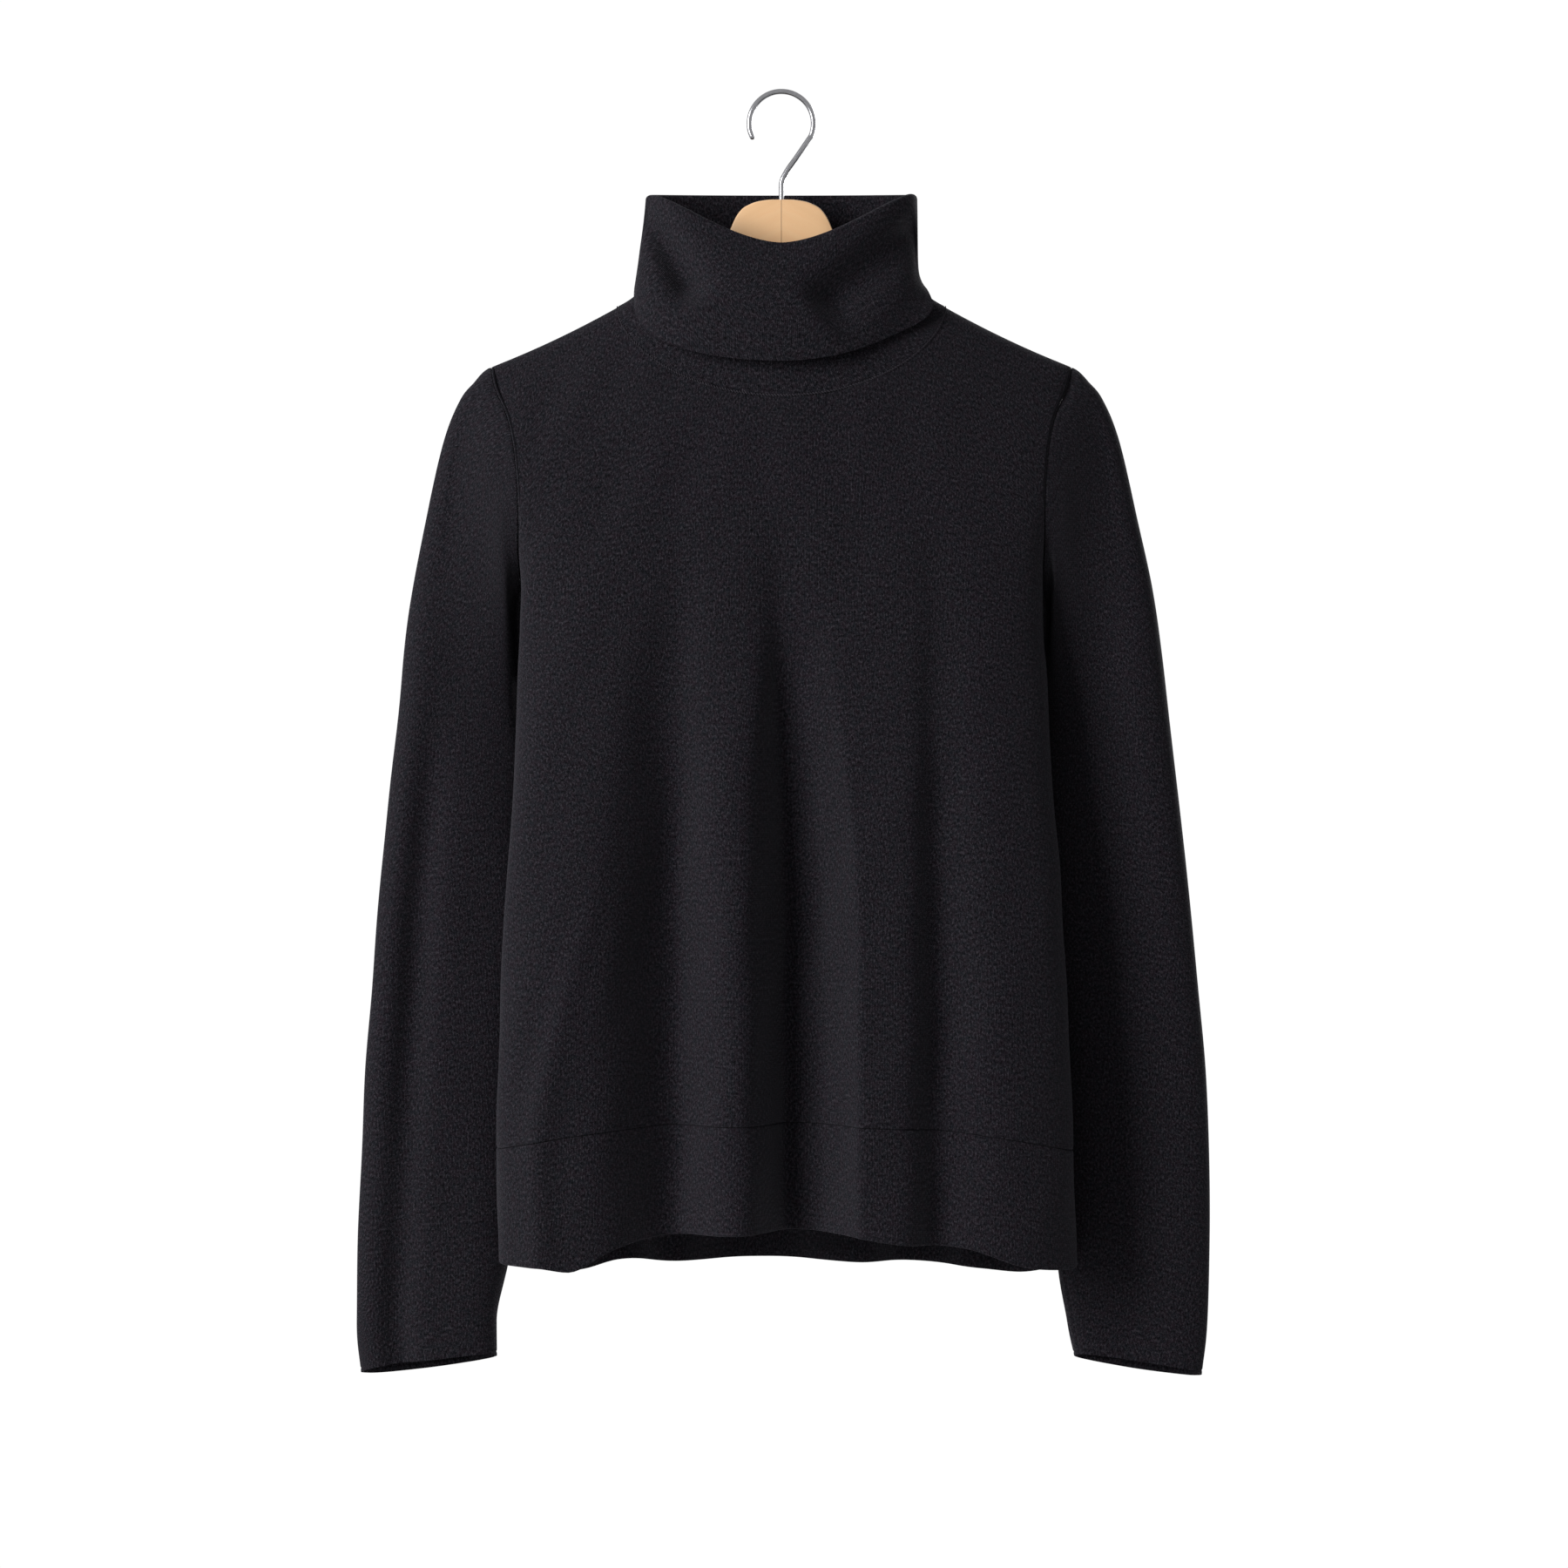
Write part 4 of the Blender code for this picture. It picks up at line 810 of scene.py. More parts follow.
def wire_rings(path, radius):
    """A round section carried along a path in the XZ plane, with a domed end and a flat foot."""
    ahead = unit(np.gradient(path, axis=0))
    level = np.array([0.0, 1.0, 0.0])
    aside = np.cross(ahead, level)
    turns = np.linspace(0.0, 2.0 * math.pi, WIRE_CELLS + 1)
    ring = np.cos(turns)[:, None] * aside[:, None, :] + np.sin(turns)[:, None] * level
    rings = path[:, None, :] + radius * ring
    foot = path[:1, None, :] + 0.0 * rings[:1]
    dome = []
    for rise in np.radians((20.0, 40.0, 60.0, 80.0, 90.0)):
        dome.append(path[-1] + radius * (math.cos(rise) * ring[-1] + math.sin(rise) * ahead[-1]))
    return np.concatenate([foot, rings, np.array(dome)])


# ---------------------------------------------------------------- meshes

def normals(points):
    """Unit normals of a grid: its change along the columns crossed with that along the rows."""
    return unit(np.cross(np.gradient(points, axis=1), np.gradient(points, axis=0)))


def grid_mesh(name, points, flat, closed=False, flip=False):
    """A mesh of quads through a grid of points, with the cloth's own flat lengths as its UV map."""
    rows, columns = points.shape[:2]
    used = columns - 1 if closed else columns
    corner = np.arange(rows * columns).reshape(rows, columns)
    quads = np.stack([corner[:-1, :-1], corner[:-1, 1:], corner[1:, 1:], corner[1:, :-1]], axis=-1)
    quads = quads.reshape(-1, 4)
    if flip:
        quads = quads[:, ::-1]
    ids = quads // columns * used + quads % columns % used
    mesh = bpy.data.meshes.new(name)
    mesh.from_pydata(points[:, :used].reshape(-1, 3), [], ids)
    layer = mesh.uv_layers.new(name="cloth")
    layer.data.foreach_set("uv", flat.reshape(-1, 2)[quads.ravel()].astype(np.float32).ravel())
    mesh.shade_smooth()
    return mesh


def show(name, data):
    """Put a mesh, lamp or camera in the scene as an object."""
    made = bpy.data.objects.new(name, data)
    bpy.context.scene.collection.objects.link(made)
    return made


def add_piece(name, mesh, finish, slot, *nodes):
    """Put a mesh in the scene as a piece that rides on the body and stands for its nodes."""
    piece = show(name, mesh)
    mesh.materials.append(finish)
    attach(piece, BODY)
    if nodes:
        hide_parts(*nodes)
    return piece


def add_wall(piece, thickness, offset=-1.0, rim=0.0):
    """Give a cloth piece its thickness, and round its free edges."""
    wall = piece.modifiers.new("wall", "SOLIDIFY")
    wall.thickness = thickness
    wall.offset = offset
    if rim:
        roll = piece.modifiers.new("rim", "BEVEL")
        roll.width = rim
        roll.segments = 3
        roll.limit_method = "ANGLE"
        roll.angle_limit = math.radians(60.0)


def freeze(piece):
    """Make a piece's modifiers part of its mesh."""
    graph = bpy.context.evaluated_depsgraph_get()
    made = bpy.data.meshes.new_from_object(piece.evaluated_get(graph))
    piece.modifiers.clear()
    piece.data = made


def cut_neck(piece, face):
    """Open a panel's neck with the area inside its neckline, extruded front to back."""
    drop = NECK_DROP_FRONT if face == FRONT else NECK_DROP_BACK
    angle = neck_angles(NECK_CUT_CELLS, COLLAR_CROWD)
    block = bmesh.new()
    line = list(zip(NECK_HALF * np.sin(angle), -neckline(angle, drop)))
    line += [(NECK_HALF, 0.0), (-NECK_HALF, 0.0)]
    outline = [block.verts.new((x, -NECK_CUT_REACH, z)) for x, z in line]
    grown = bmesh.ops.extrude_face_region(block, geom=[block.faces.new(outline)])["geom"]
    far = [item for item in grown if isinstance(item, bmesh.types.BMVert)]
    bmesh.ops.translate(block, verts=far, vec=(0.0, 2.0 * NECK_CUT_REACH, 0.0))
    bmesh.ops.recalc_face_normals(block, faces=block.faces)
    mesh = bpy.data.meshes.new("neck_cutter")
    block.to_mesh(mesh)
    block.free()
    cutter = show("neck_cutter", mesh)
    opening = piece.modifiers.new("neck", "BOOLEAN")
    opening.operation = "DIFFERENCE"
    opening.object = cutter
    freeze(piece)
    bpy.data.objects.remove(cutter, do_unlink=True)


# ---------------------------------------------------------------- sewing the pieces

WAVER_SEEDS = {FRONT: 11, BACK: 12}
SLEEVE_SEEDS = {LEFT: 21, RIGHT: 22}
WAVER_HEIGHT = 0.0002
WAVER_EDGE = 0.02         # it fades out this near to a side seam
WAVER_TOP = 0.03          # and to the shoulder


def waver(across, along, seed):
    """Small soft unevenness of hanging knit: five long waves of 35 to 90 mm, each of 0.2 mm."""
    rng = np.random.default_rng(seed)
    height = np.zeros_like(across)
    for _ in range(5):
        turn = rng.uniform(-0.5, 0.5)
        number = 2.0 * math.pi / rng.uniform(0.035, 0.090)
        phase = rng.uniform(0.0, 2.0 * math.pi)
        height += WAVER_HEIGHT * np.sin(number * (across * math.cos(turn) + along * math.sin(turn)) + phase)
    return height


def from_middle(points):
    """Flat lengths across each row, from its middle column, and how far off its sides lie."""
    across = arc(points, 1)
    across -= across[:, across.shape[1] // 2:across.shape[1] // 2 + 1]
    return across, np.minimum(across - across[:, :1], across[:, -1:] - across)


def shoulder_pull(off_seam, drop):
    """The dimple where the sleeve's head gathers: a bell across its seam and one down it."""
    return SHOULDER_PULL * bell(off_seam, 0.0050) * bell(drop - 0.016, 0.014)


def sewn_panel(face):
    """A panel's outer surface with its seams drawn in, and its flat lengths across and up."""
    points = panel_points(face)
    across, to_side = from_middle(points)
    up = arc(points[::-1], 0)[::-1]
    drop = -points[..., 2] - ridge(points[..., 0])
    dip = GROOVE * bell(np.minimum(to_side, up), GROOVE_HALF)
    dip += waver(across, up, WAVER_SEEDS[face]) * ease(to_side / WAVER_EDGE) * ease(drop / WAVER_TOP)
    out = normals(points) * face
    points[1:] -= (dip[..., None] * out)[1:]
    pull = shoulder_pull(to_side, drop)
    points[1:, :, 1] -= face * pull[1:]
    return side_gap(points, SEAM), np.stack([across, up], axis=-1)


def sewn_band(face):
    """A hem band's outer surface, its seam drawn in, and its flat lengths across and up."""
    points = band_points(face)
    across, to_side = from_middle(points)
    length = arc(points, 0)
    dip = GROOVE * bell(np.minimum(to_side, length), GROOVE_HALF)
    dip += waver(across, -length, WAVER_SEEDS[face]) * ease(to_side / WAVER_EDGE)
    points -= dip[..., None] * normals(points) * face
    return side_gap(points, SEAM * 2), np.stack([across, -length], axis=-1)


def sewn_sleeve(side):
    """A sleeve's outer surface with its seams and cuff line, and its flat lengths."""
    points = sleeve_points(side)
    across = arc(points, 1)
    round_all = across[:, -1:]
    across = across - round_all / 2
    run = arc(points, 0)
    up = run[-1:] - run
    to_seam = round_all / 2 - np.abs(across)
    dip = GROOVE * bell(to_seam, GROOVE_HALF * 0.8)
    dip += GROOVE * bell(run, GROOVE_HALF)
    dip += CUFF_GROOVE * bell(up - CUFF_LINE, 0.0007)
    dip += waver(across, up, SLEEVE_SEEDS[side]) * ease(to_seam / WAVER_EDGE) * ease(run / WAVER_TOP)
    points = points - dip[..., None] * normals(points) * side
    pull = shoulder_pull(run, -points[..., 2] - ridge(SHOULDER_X))
    points[..., 1] -= np.clip(points[..., 1] / 0.004, -1.0, 1.0) * pull
    points[:, -1] = points[:, 0]
    return points, np.stack([across, up], axis=-1)


def sewn_collar():
    """The collar's surface and its flat lengths: its stitches spread evenly round every ring."""
    points = collar_points()
    across = arc(points, 1)
    across = (across / across[:, -1:] - 0.5) * COLLAR_ROUND
    return points, np.stack([across, arc(points, 0)], axis=-1)


# ---------------------------------------------------------------- finishes

def settle(made, **values):
    """Give a node's own sockets their constant values."""
    for name, value in values.items():
        made.inputs[name.replace("_", " ")].default_value = value


def new_finish(name, **values):
    """A material, its tree and its shader, with the shader's constant values."""
    made = bpy.data.materials.new(name)
    made.use_nodes = True
    shader = made.node_tree.nodes["Principled BSDF"]
    settle(shader, **values)
    return made, made.node_tree, shader


def node(tree, kind, **settings):
    """A new shader node with its own settings."""
    made = tree.nodes.new("ShaderNode" + kind)
    for name, value in settings.items():
        setattr(made, name, value)
    return made


def put(tree, socket, value):
    """Join an output to a socket, or set the socket's own value."""
    if hasattr(value, "is_output"):
        tree.links.new(value, socket)
    else:
        socket.default_value = value


def maths(tree, operation, first, second=0.0, third=None):
    """One step of arithmetic on outputs or numbers."""
    made = node(tree, "Math", operation=operation)
    put(tree, made.inputs[0], first)
    put(tree, made.inputs[1], second)
    if third is not None:
        put(tree, made.inputs[2], third)
    return made.outputs[0]


def noise(tree, place, scale, detail=2.0, roughness=0.5):
    """Cloudy noise from 0 to 1, with `scale` clouds a metre."""
    made = node(tree, "TexNoise")
    put(tree, made.inputs["Vector"], place)
    settle(made, Scale=scale, Detail=detail, Roughness=roughness)
    return made.outputs[0]


def stretched(tree, place, scale):
    """A place multiplied along each axis, which draws a pattern out where the scale is small."""
    made = node(tree, "Mapping")
    put(tree, made.inputs["Vector"], place)
    settle(made, Scale=scale)
    return made.outputs[0]


def raise_surface(tree, shader, height, strength, distance):
    """Bump a surface by a height from 0 to 1, over a real distance."""
    bump = node(tree, "Bump")
    settle(bump, Strength=strength, Distance=distance)
    put(tree, bump.inputs["Height"], height)
    put(tree, shader.inputs["Normal"], bump.outputs[0])


def blend_colour(tree, share, first, second):
    """The first colour at 0, the second at 1."""
    made = node(tree, "Mix", data_type="RGBA")
    put(tree, made.inputs[0], share)
    put(tree, made.inputs[6], first)
    put(tree, made.inputs[7], second)
    return made.outputs[2]


def spread(tree, value, low, high, out_low=0.0, out_high=1.0):
    """A value's range from low to high, stretched over another range and held at its ends."""
    made = node(tree, "MapRange")
    put(tree, made.inputs[0], value)
    for place, number in enumerate((low, high, out_low, out_high)):
        made.inputs[place + 1].default_value = number
    return made.outputs[0]


WALE = 0.00170            # width of one column of stitches
COURSE = 0.00135          # height of one row of stitches
NAVY = (0.0105, 0.0094, 0.0126, 1.0)
# The deep navy below is a darker yarn tone for the seams, and the painted shade of the knit's stitch
# valleys
NAVY_DARK_YARN_AND_SHADE = (0.0050, 0.0045, 0.0062, 1.0)
NAVY_WARM = (0.0139, 0.0089, 0.0126, 1.0)
NAVY_COOL = (0.0076, 0.0097, 0.0126, 1.0)
NAVY_PALE = (0.0361, 0.0328, 0.0395, 1.0)
NAVY_BLACK = (0.0013, 0.0013, 0.0017, 1.0)
YARN = (0.0085, 0.0076, 0.0100, 1.0)
YARN_PALE = (0.0300, 0.0275, 0.0330, 1.0)


def knit_finish():
    """Plain knit in a fine wool blend.

    Each column of stitches is two slanted legs that meet in a V: the height is a sine across each
    leg, times a wave along it that the distance from the column's middle puts out of step.  Loose
    fibres blur it, flecks of lighter and darker wool colour it, and sheen lights its nap.  Painted
    shade darkens the colour where that height is low, in the valleys between legs and loops.
    """
    finish, tree, shader = new_finish(
        "plain_knit", Roughness=0.95, Specular_IOR_Level=0.03,
        Sheen_Weight=0.05, Sheen_Roughness=0.45, Sheen_Tint=(0.80, 0.80, 0.90, 1.0),
    )
    flat = node(tree, "UVMap", uv_map="cloth").outputs[0]
    thread = noise(tree, stretched(tree, flat, (1.0, 0.35, 1.0)), 420.0, 3.0)
    split = node(tree, "SeparateXYZ")
    put(tree, split.inputs[0], flat)
    sway = maths(tree, "MULTIPLY_ADD", thread, 0.00055, -0.00027)
    across = maths(tree, "DIVIDE", maths(tree, "ADD", split.outputs[0], sway), WALE)
    along = maths(tree, "DIVIDE", maths(tree, "ADD", split.outputs[1], sway), COURSE)
    leg = maths(tree, "MULTIPLY", maths(tree, "PINGPONG", across, 0.5), 2.0)
    ridge_height = maths(tree, "SINE", maths(tree, "MULTIPLY", leg, math.pi))
    step = maths(tree, "MULTIPLY_ADD", leg, 0.8, along)
    loop = maths(tree, "SINE", maths(tree, "MULTIPLY", step, 2.0 * math.pi))
    loop = maths(tree, "MULTIPLY_ADD", loop, 0.24, 0.76)
    stitch = maths(tree, "MULTIPLY", ridge_height, loop)
    fibre = noise(tree, flat, 2600.0, 2.0, 0.6)
    raise_surface(tree, shader, maths(tree, "MULTIPLY_ADD", fibre, 0.55, stitch), 0.75, 0.00050)
    cloudy = spread(tree, noise(tree, flat, 190.0, 4.0, 0.65), 0.40, 0.60)
    dyed = blend_colour(tree, cloudy, NAVY_WARM, NAVY_COOL)
    dyed = blend_colour(tree, 0.15, dyed, NAVY)
    # Painted shade: the colour darkens towards the deep navy where the stitch height is low, in the valleys
    # between legs and loops
    shade = spread(tree, stitch, 0.05, 0.75)
    colour = blend_colour(tree, shade, NAVY_DARK_YARN_AND_SHADE, dyed)
    pale = noise(tree, stretched(tree, flat, (1.0, 0.60, 1.0)), 800.0, 4.0, 0.75)
    colour = blend_colour(tree, spread(tree, pale, 0.48, 0.64, 0.0, 0.85), colour, NAVY_PALE)
    dark = noise(tree, stretched(tree, flat, (1.0, 0.70, 1.0)), 700.0, 4.0, 0.75)
    colour = blend_colour(tree, spread(tree, dark, 0.48, 0.62, 0.0, 0.95), colour, NAVY_BLACK)
    put(tree, shader.inputs["Base Color"], colour)
    return finish


def yarn_finish(name, low, high):
    """Sewing yarn spun from the same wool, mottled between two tones by its fibres."""
    finish, tree, shader = new_finish(name, Roughness=0.9, Specular_IOR_Level=0.05)
    place = node(tree, "TexCoord").outputs["Object"]
    ply = noise(tree, place, 900.0, 3.0, 0.6)
    put(tree, shader.inputs["Base Color"], blend_colour(tree, spread(tree, ply, 0.35, 0.65), low, high))
    raise_surface(tree, shader, ply, 0.6, 0.0002)
    return finish


def wood_finish():
    """Pale beech under satin lacquer: long soft grain down each arm, and short darker flecks."""
    finish, tree, shader = new_finish("pale_beech", Coat_Weight=0.25, Coat_Roughness=0.25)
    place = node(tree, "TexCoord").outputs["Object"]
    split = node(tree, "SeparateXYZ")
    put(tree, split.inputs[0], place)
    side = maths(tree, "ABSOLUTE", split.outputs[0])
    along = maths(tree, "MULTIPLY_ADD", side, 0.89, maths(tree, "MULTIPLY", split.outputs[2], -0.45))
    across = maths(tree, "MULTIPLY_ADD", side, 0.45, maths(tree, "MULTIPLY", split.outputs[2], 0.89))
    drawn = []
    for share in (0.08, 0.30):
        join = node(tree, "CombineXYZ")
        put(tree, join.inputs[0], maths(tree, "MULTIPLY", along, share))
        put(tree, join.inputs[1], across)
        put(tree, join.inputs[2], split.outputs[1])
        drawn.append(join.outputs[0])
    grain = noise(tree, drawn[0], 340.0, 4.0, 0.6)
    broad = noise(tree, drawn[0], 70.0)
    colour = blend_colour(
        tree, spread(tree, broad, 0.3, 0.7), (0.565, 0.332, 0.162, 1.0), (0.640, 0.408, 0.218, 1.0)
    )
    line = spread(tree, grain, 0.48, 0.70, 0.0, 0.35)
    colour = blend_colour(tree, line, colour, (0.620, 0.340, 0.165, 1.0))
    fleck = spread(tree, noise(tree, drawn[1], 1500.0, 1.0), 0.66, 0.74, 0.0, 0.30)
    colour = blend_colour(tree, fleck, colour, (0.560, 0.300, 0.145, 1.0))
    put(tree, shader.inputs["Base Color"], colour)
    raise_surface(tree, shader, grain, 0.15, 0.0001)
    put(tree, shader.inputs["Roughness"], spread(tree, grain, 0.3, 0.7, 0.34, 0.46))
    return finish


def wire_finish():
    """Bright plated wire with fine draw marks and a few dull spots."""
    finish, tree, shader = new_finish("plated_wire", Metallic=1.0)
    place = node(tree, "TexCoord").outputs["Object"]
    spot = noise(tree, place, 420.0, 3.0)
    put(tree, shader.inputs["Roughness"], spread(tree, spot, 0.3, 0.7, 0.12, 0.26))
    colour = blend_colour(
        tree, spread(tree, spot, 0.35, 0.7), (0.24, 0.24, 0.25, 1.0), (0.19, 0.19, 0.20, 1.0)
    )
    put(tree, shader.inputs["Base Color"], colour)
    marks = noise(tree, stretched(tree, place, (1.0, 1.0, 0.2)), 2400.0)
    raise_surface(tree, shader, marks, 0.10, 0.00005)
    return finish


# ---------------------------------------------------------------- small sewn details

def capsules(places, along, out, length, width):
    """Joined short rounded stitches: a hexagon carried along each, drawn in at both ends."""
    turns = np.arange(CORD_SIDES) / CORD_SIDES * 2.0 * math.pi
    steps = np.array((-0.5, -0.3, 0.3, 0.5))
    reach = np.array((0.25, 1.0, 1.0, 0.25))
    side = np.cross(along, out)
    ring = np.cos(turns)[:, None, None] * side + np.sin(turns)[:, None, None] * out * 0.7
    rows = [places + along * step * length + ring * width / 2 * wide for step, wide in zip(steps, reach)]
    points = np.stack(rows).transpose(2, 0, 1, 3).reshape(-1, 3)
    count = len(places)
    corner = np.arange(4 * CORD_SIDES).reshape(4, CORD_SIDES)
    after = np.roll(corner, -1, axis=1)
    quads = np.stack([corner[:-1], after[:-1], after[1:], corner[1:]], axis=-1).reshape(-1, 4)
    shift = (np.arange(count) * corner.size)[:, None, None]
    faces = (quads[None] + shift).reshape(-1, 4).tolist()
    for cap in (corner[0][::-1], corner[-1]):
        faces += (cap[None] + shift[:, 0]).tolist()
    return points, faces


def seam_cord(places, out, across, radius, ring_closed=True):
    """The seam's ridge: a hexagon carried along a line of places, capped where the line is open."""
    turns = np.arange(CORD_SIDES) / CORD_SIDES * 2.0 * math.pi
    ring = np.cos(turns)[None, :, None] * across[:, None] + np.sin(turns)[None, :, None] * out[:, None]
    points = (places[:, None] + ring * radius).reshape(-1, 3)
    corner = np.arange(len(points)).reshape(len(places), CORD_SIDES)
    ahead = np.roll(corner, -1, axis=0)
    quads = np.stack([corner, ahead, np.roll(ahead, -1, axis=1), np.roll(corner, -1, axis=1)], axis=-1)
    if ring_closed:
        return points, quads.reshape(-1, 4).tolist()
    ends = [corner[0].tolist(), corner[-1][::-1].tolist()]
    return points, quads[:-1].reshape(-1, 4).tolist() + ends


def seam_lines():
    """Where the panels and bands are sewn: each line's places and the way out of the cloth."""
    for face in (FRONT, BACK):
        points = panel_points(face)
        band = band_points(face)
        yield points[-1], normals(points)[-1] * face
        for column in (0, -1):
            side = np.concatenate([points[2:, column], band[1:-2, column]])
            yield side, np.sign(side[:, :1]) * np.array([[1.0, 0.0, 0.0]])


def seam_ridges():
    """The ridges that the linked seams leave inside the cloth, as one mesh of cords."""
    places, faces = [], []
    count = 0
    for line, out in seam_lines():
        across = unit(np.cross(np.gradient(line, axis=0), out))
        points, quads = seam_cord(line - out * SEAM_INSIDE, out, across, CORD_RADIUS, ring_closed=False)
        places.append(points)
        faces += [[corner + count for corner in quad] for quad in quads]
        count += len(points)
    mesh = bpy.data.meshes.new("seam_ridges")
    mesh.from_pydata(np.concatenate(places), [], faces)
    return closed_mesh(mesh)


def neck_links():
    """The chain of linking stitches that joins the collar to the neckline, all round."""
    fine = np.linspace(-math.pi / 2, 1.5 * math.pi, FINE_STEPS)
    line = neck_seam(fine)
    length = arc(line, 0)
    count = int(length[-1] / LINK_PITCH)
    even = (np.arange(count) + 0.5) / count * length[-1]
    places = np.stack([np.interp(even, length, line[:, axis]) for axis in range(3)], axis=-1)
    ahead = unit(np.roll(places, -1, axis=0) - np.roll(places, 1, axis=0))
    out = outward(neck_seam, np.interp(even, length, fine))
    out = unit(out - ahead * np.sum(out * ahead, axis=1, keepdims=True))
    across = np.cross(ahead, out)
    slant = ahead * 0.82 + across * 0.57
    points, faces = capsules(places + out * LINK_OUT, slant, out, LINK_LENGTH, LINK_WIDTH)
    cord, cord_faces = seam_cord(places - out * CORD_RADIUS, out, across, CORD_RADIUS)
    faces += [[corner + len(points) for corner in quad] for quad in cord_faces]
    mesh = bpy.data.meshes.new("neck_links")
    mesh.from_pydata(np.concatenate([points, cord]), [], faces)
    mesh.shade_smooth()
    return mesh


# ---------------------------------------------------------------- putting it together

# The flat cut of each piece as it shows: width and length of its rectangle, and its own area
CUTS = {
    "knit_front": (0.562, 0.617, 0.2330),
    "knit_back": (0.442, 0.615, 0.1920),
    "band_front": (0.567, 0.086, 0.0421),
    "band_back": (0.421, 0.096, 0.0396),
    "knit_sleeve_left": (0.444, 0.678, 0.1355),
    "knit_sleeve_right": (0.443, 0.677, 0.1340),
    "knit_collar": (0.420, 0.207, 0.0788),
}


def declare(piece):
    """Read the size that a piece was cut to from the table; nothing more is done with it."""
    width, length, area = CUTS[piece.name]


def add_sewn(name, sewn, knit, replaced, thickness, closed=False, flip=False, **edge):
    """A cloth piece from its sewn surface and flat lengths, with its wall."""
    mesh = grid_mesh(name, *sewn, closed, flip)
    piece = add_piece(name, mesh, knit, "knit", replaced)
    add_wall(piece, thickness, **edge)
    return piece


def add_cloth(knit):
    """The sweater's pieces."""
    inner = yarn_finish("seam_yarn", NAVY_BLACK, NAVY_DARK_YARN_AND_SHADE)
    ridges = add_piece("seam_ridges", seam_ridges(), inner, "knit")
    for face, name in ((FRONT, "front"), (BACK, "back")):
        flip = face == FRONT
        panel = add_sewn("knit_" + name, sewn_panel(face), knit, name + "_panel", CLOTH, flip=flip)
        cut_neck(panel, face)
        band = add_sewn(
            "band_" + name, sewn_band(face), knit, "hem_band_" + name, BAND_CLOTH, flip=flip, rim=BAND_RIM
        )
        declare(panel)
        declare(band)
    for side, name in ((LEFT, "left"), (RIGHT, "right")):
        sleeve = add_sewn(
            "knit_sleeve_" + name, sewn_sleeve(side), knit, "sleeve_" + name, CLOTH,
            closed=True, flip=side == LEFT, rim=RIM,
        )
        declare(sleeve)
    collar = add_sewn(
        "knit_collar", sewn_collar(), knit, "roll_collar", CLOTH, closed=True, offset=0.0, rim=RIM
    )
    links = add_piece("neck_links", neck_links(), yarn_finish("linking_yarn", YARN, YARN_PALE), "knit")
    declare(collar)


def add_hanger(wood, steel):
    """The hanger's two halves and its wire hook."""
    for side, name in ((LEFT, "left"), (RIGHT, "right")):
        rings = hanger_rings(side)
        mesh = grid_mesh("beech_" + name, rings, rings[..., :2], closed=True, flip=side == RIGHT)
        add_piece("beech_" + name, closed_mesh(mesh), wood, "wood", "hanger_" + name)
    rings = wire_rings(hook_path(), HOOK_WIRE / 2)
    mesh = grid_mesh("hook_wire", rings, rings[..., :2], closed=True)
    add_piece("hook_wire", closed_mesh(mesh), steel, "steel", "hanger_hook")


def closed_mesh(mesh):
    """Merge a loft's drawn-together ends, and point its faces outwards."""
    solid = bmesh.new()
    solid.from_mesh(mesh)
    bmesh.ops.remove_doubles(solid, verts=solid.verts, dist=1e-7)
    bmesh.ops.recalc_face_normals(solid, faces=solid.faces)
    solid.to_mesh(mesh)
    solid.free()
    mesh.shade_smooth()
    mesh.set_sharp_from_angle(angle=math.radians(40.0))
    return mesh


# ---------------------------------------------------------------- stage, light and camera

CAMERA_PLACE = (0.00171, -2.45, -0.4514)
VIEW_WIDTH = 1.026        # what the frame takes in at the garment
SENSOR = 36.0             # millimetres
FLOOR_DOWN = 1.75
KEY_PLACE = (-1.93, -1.58, 0.35)
KEY_WATTS = 107.0
FILL_PLACE = (1.50, 2.00, 0.30)
FILL_WATTS = 75.0
AMBIENT = 0.30


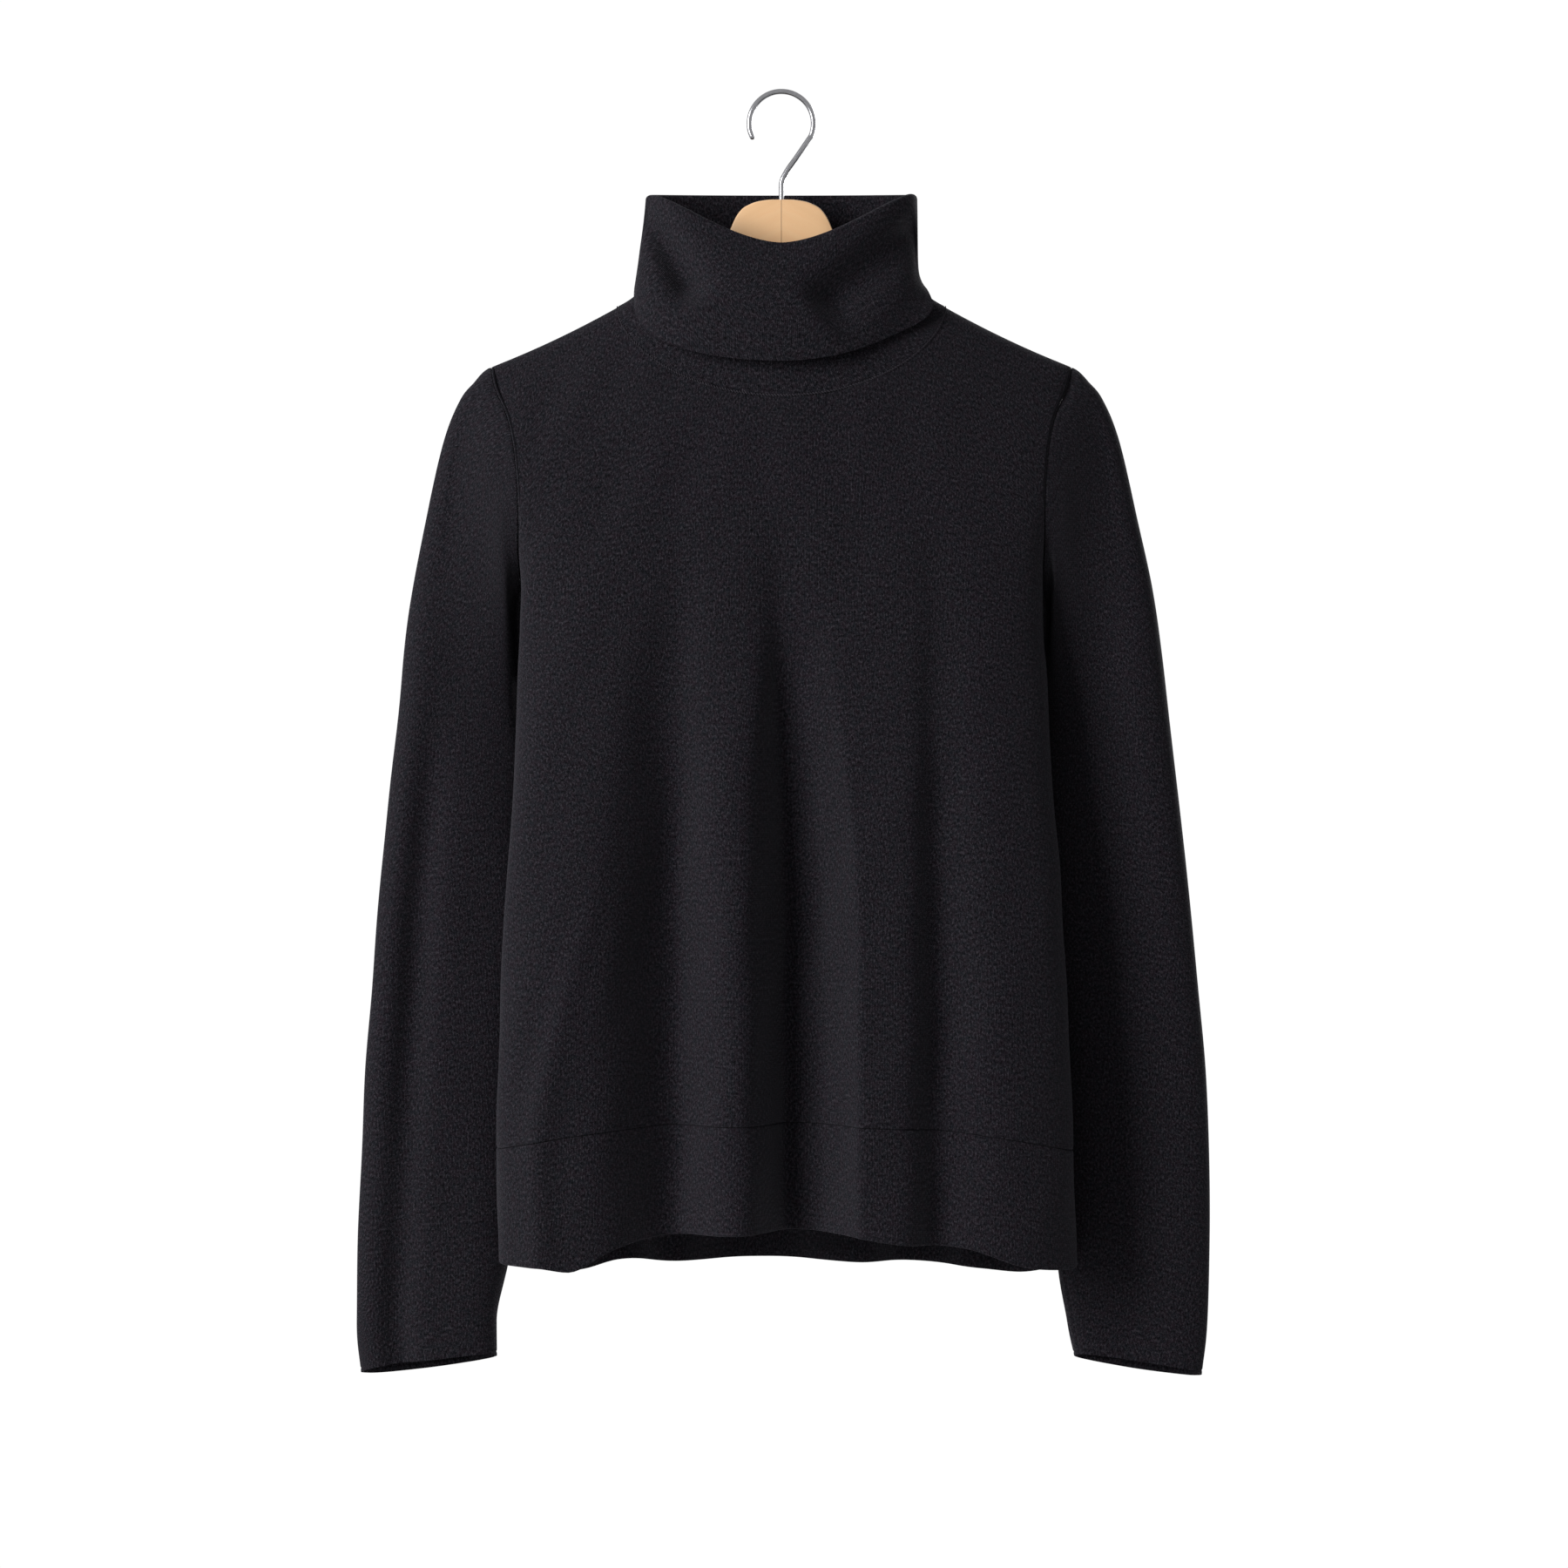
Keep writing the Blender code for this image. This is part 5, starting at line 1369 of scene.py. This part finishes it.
def add_stage():
    """A pale floor well below the hem."""
    side = 3.0
    mesh = bpy.data.meshes.new("floor")
    corners = [(-side, -side), (side, -side), (side, side), (-side, side)]
    mesh.from_pydata([(x, y, -FLOOR_DOWN) for x, y in corners], [], [(0, 1, 2, 3)])
    floor = show("floor", mesh)
    mesh.materials.append(new_finish("pale_floor", Roughness=0.8, Base_Color=(0.82, 0.82, 0.82, 1.0))[0])


def add_lamp(name, place, watts):
    """A soft rectangular lamp that looks at the garment's middle."""
    lamp = bpy.data.lights.new(name, "AREA")
    lamp.shape = "RECTANGLE"
    lamp.size = 1.1
    lamp.size_y = 1.5
    lamp.energy = watts
    stand = show(name, lamp)
    stand.location = place
    aim = np.array((0.0, 0.0, -0.45)) - np.array(place)
    stand.rotation_euler = (
        math.atan2(math.hypot(aim[0], aim[1]), -aim[2]), 0.0, math.atan2(aim[1], aim[0]) - math.pi / 2
    )


def add_light():
    """A soft key from the left, a weaker lamp behind, and white all round.

    The white is bright where it is seen or mirrored, and dimmer as light.
    """
    add_lamp("key", KEY_PLACE, KEY_WATTS)
    add_lamp("back_fill", FILL_PLACE, FILL_WATTS)
    world = bpy.data.worlds.new("white_room")
    bpy.context.scene.world = world
    world.use_nodes = True
    tree = world.node_tree
    room = tree.nodes["Background"]
    room.inputs["Color"].default_value = (1.0, 1.0, 1.0, 1.0)
    path = node(tree, "LightPath")
    seen = maths(tree, "MAXIMUM", path.outputs["Is Camera Ray"], path.outputs["Is Glossy Ray"])
    put(tree, room.inputs["Strength"], spread(tree, seen, 0.0, 1.0, AMBIENT, 1.02))


def add_camera():
    """A camera that looks straight at the garment's front and takes in VIEW_WIDTH at its middle."""
    data = bpy.data.cameras.new("camera")
    data.sensor_width = SENSOR
    data.lens = SENSOR * -CAMERA_PLACE[1] / VIEW_WIDTH
    camera = show("camera", data)
    camera.location = CAMERA_PLACE
    camera.rotation_euler = (math.pi / 2, 0.0, 0.0)
    bpy.context.scene.camera = camera
    bpy.context.scene.view_settings.view_transform = "Standard"


knit = knit_finish()
add_hanger(wood_finish(), wire_finish())
add_cloth(knit)
add_stage()
add_light()
add_camera()
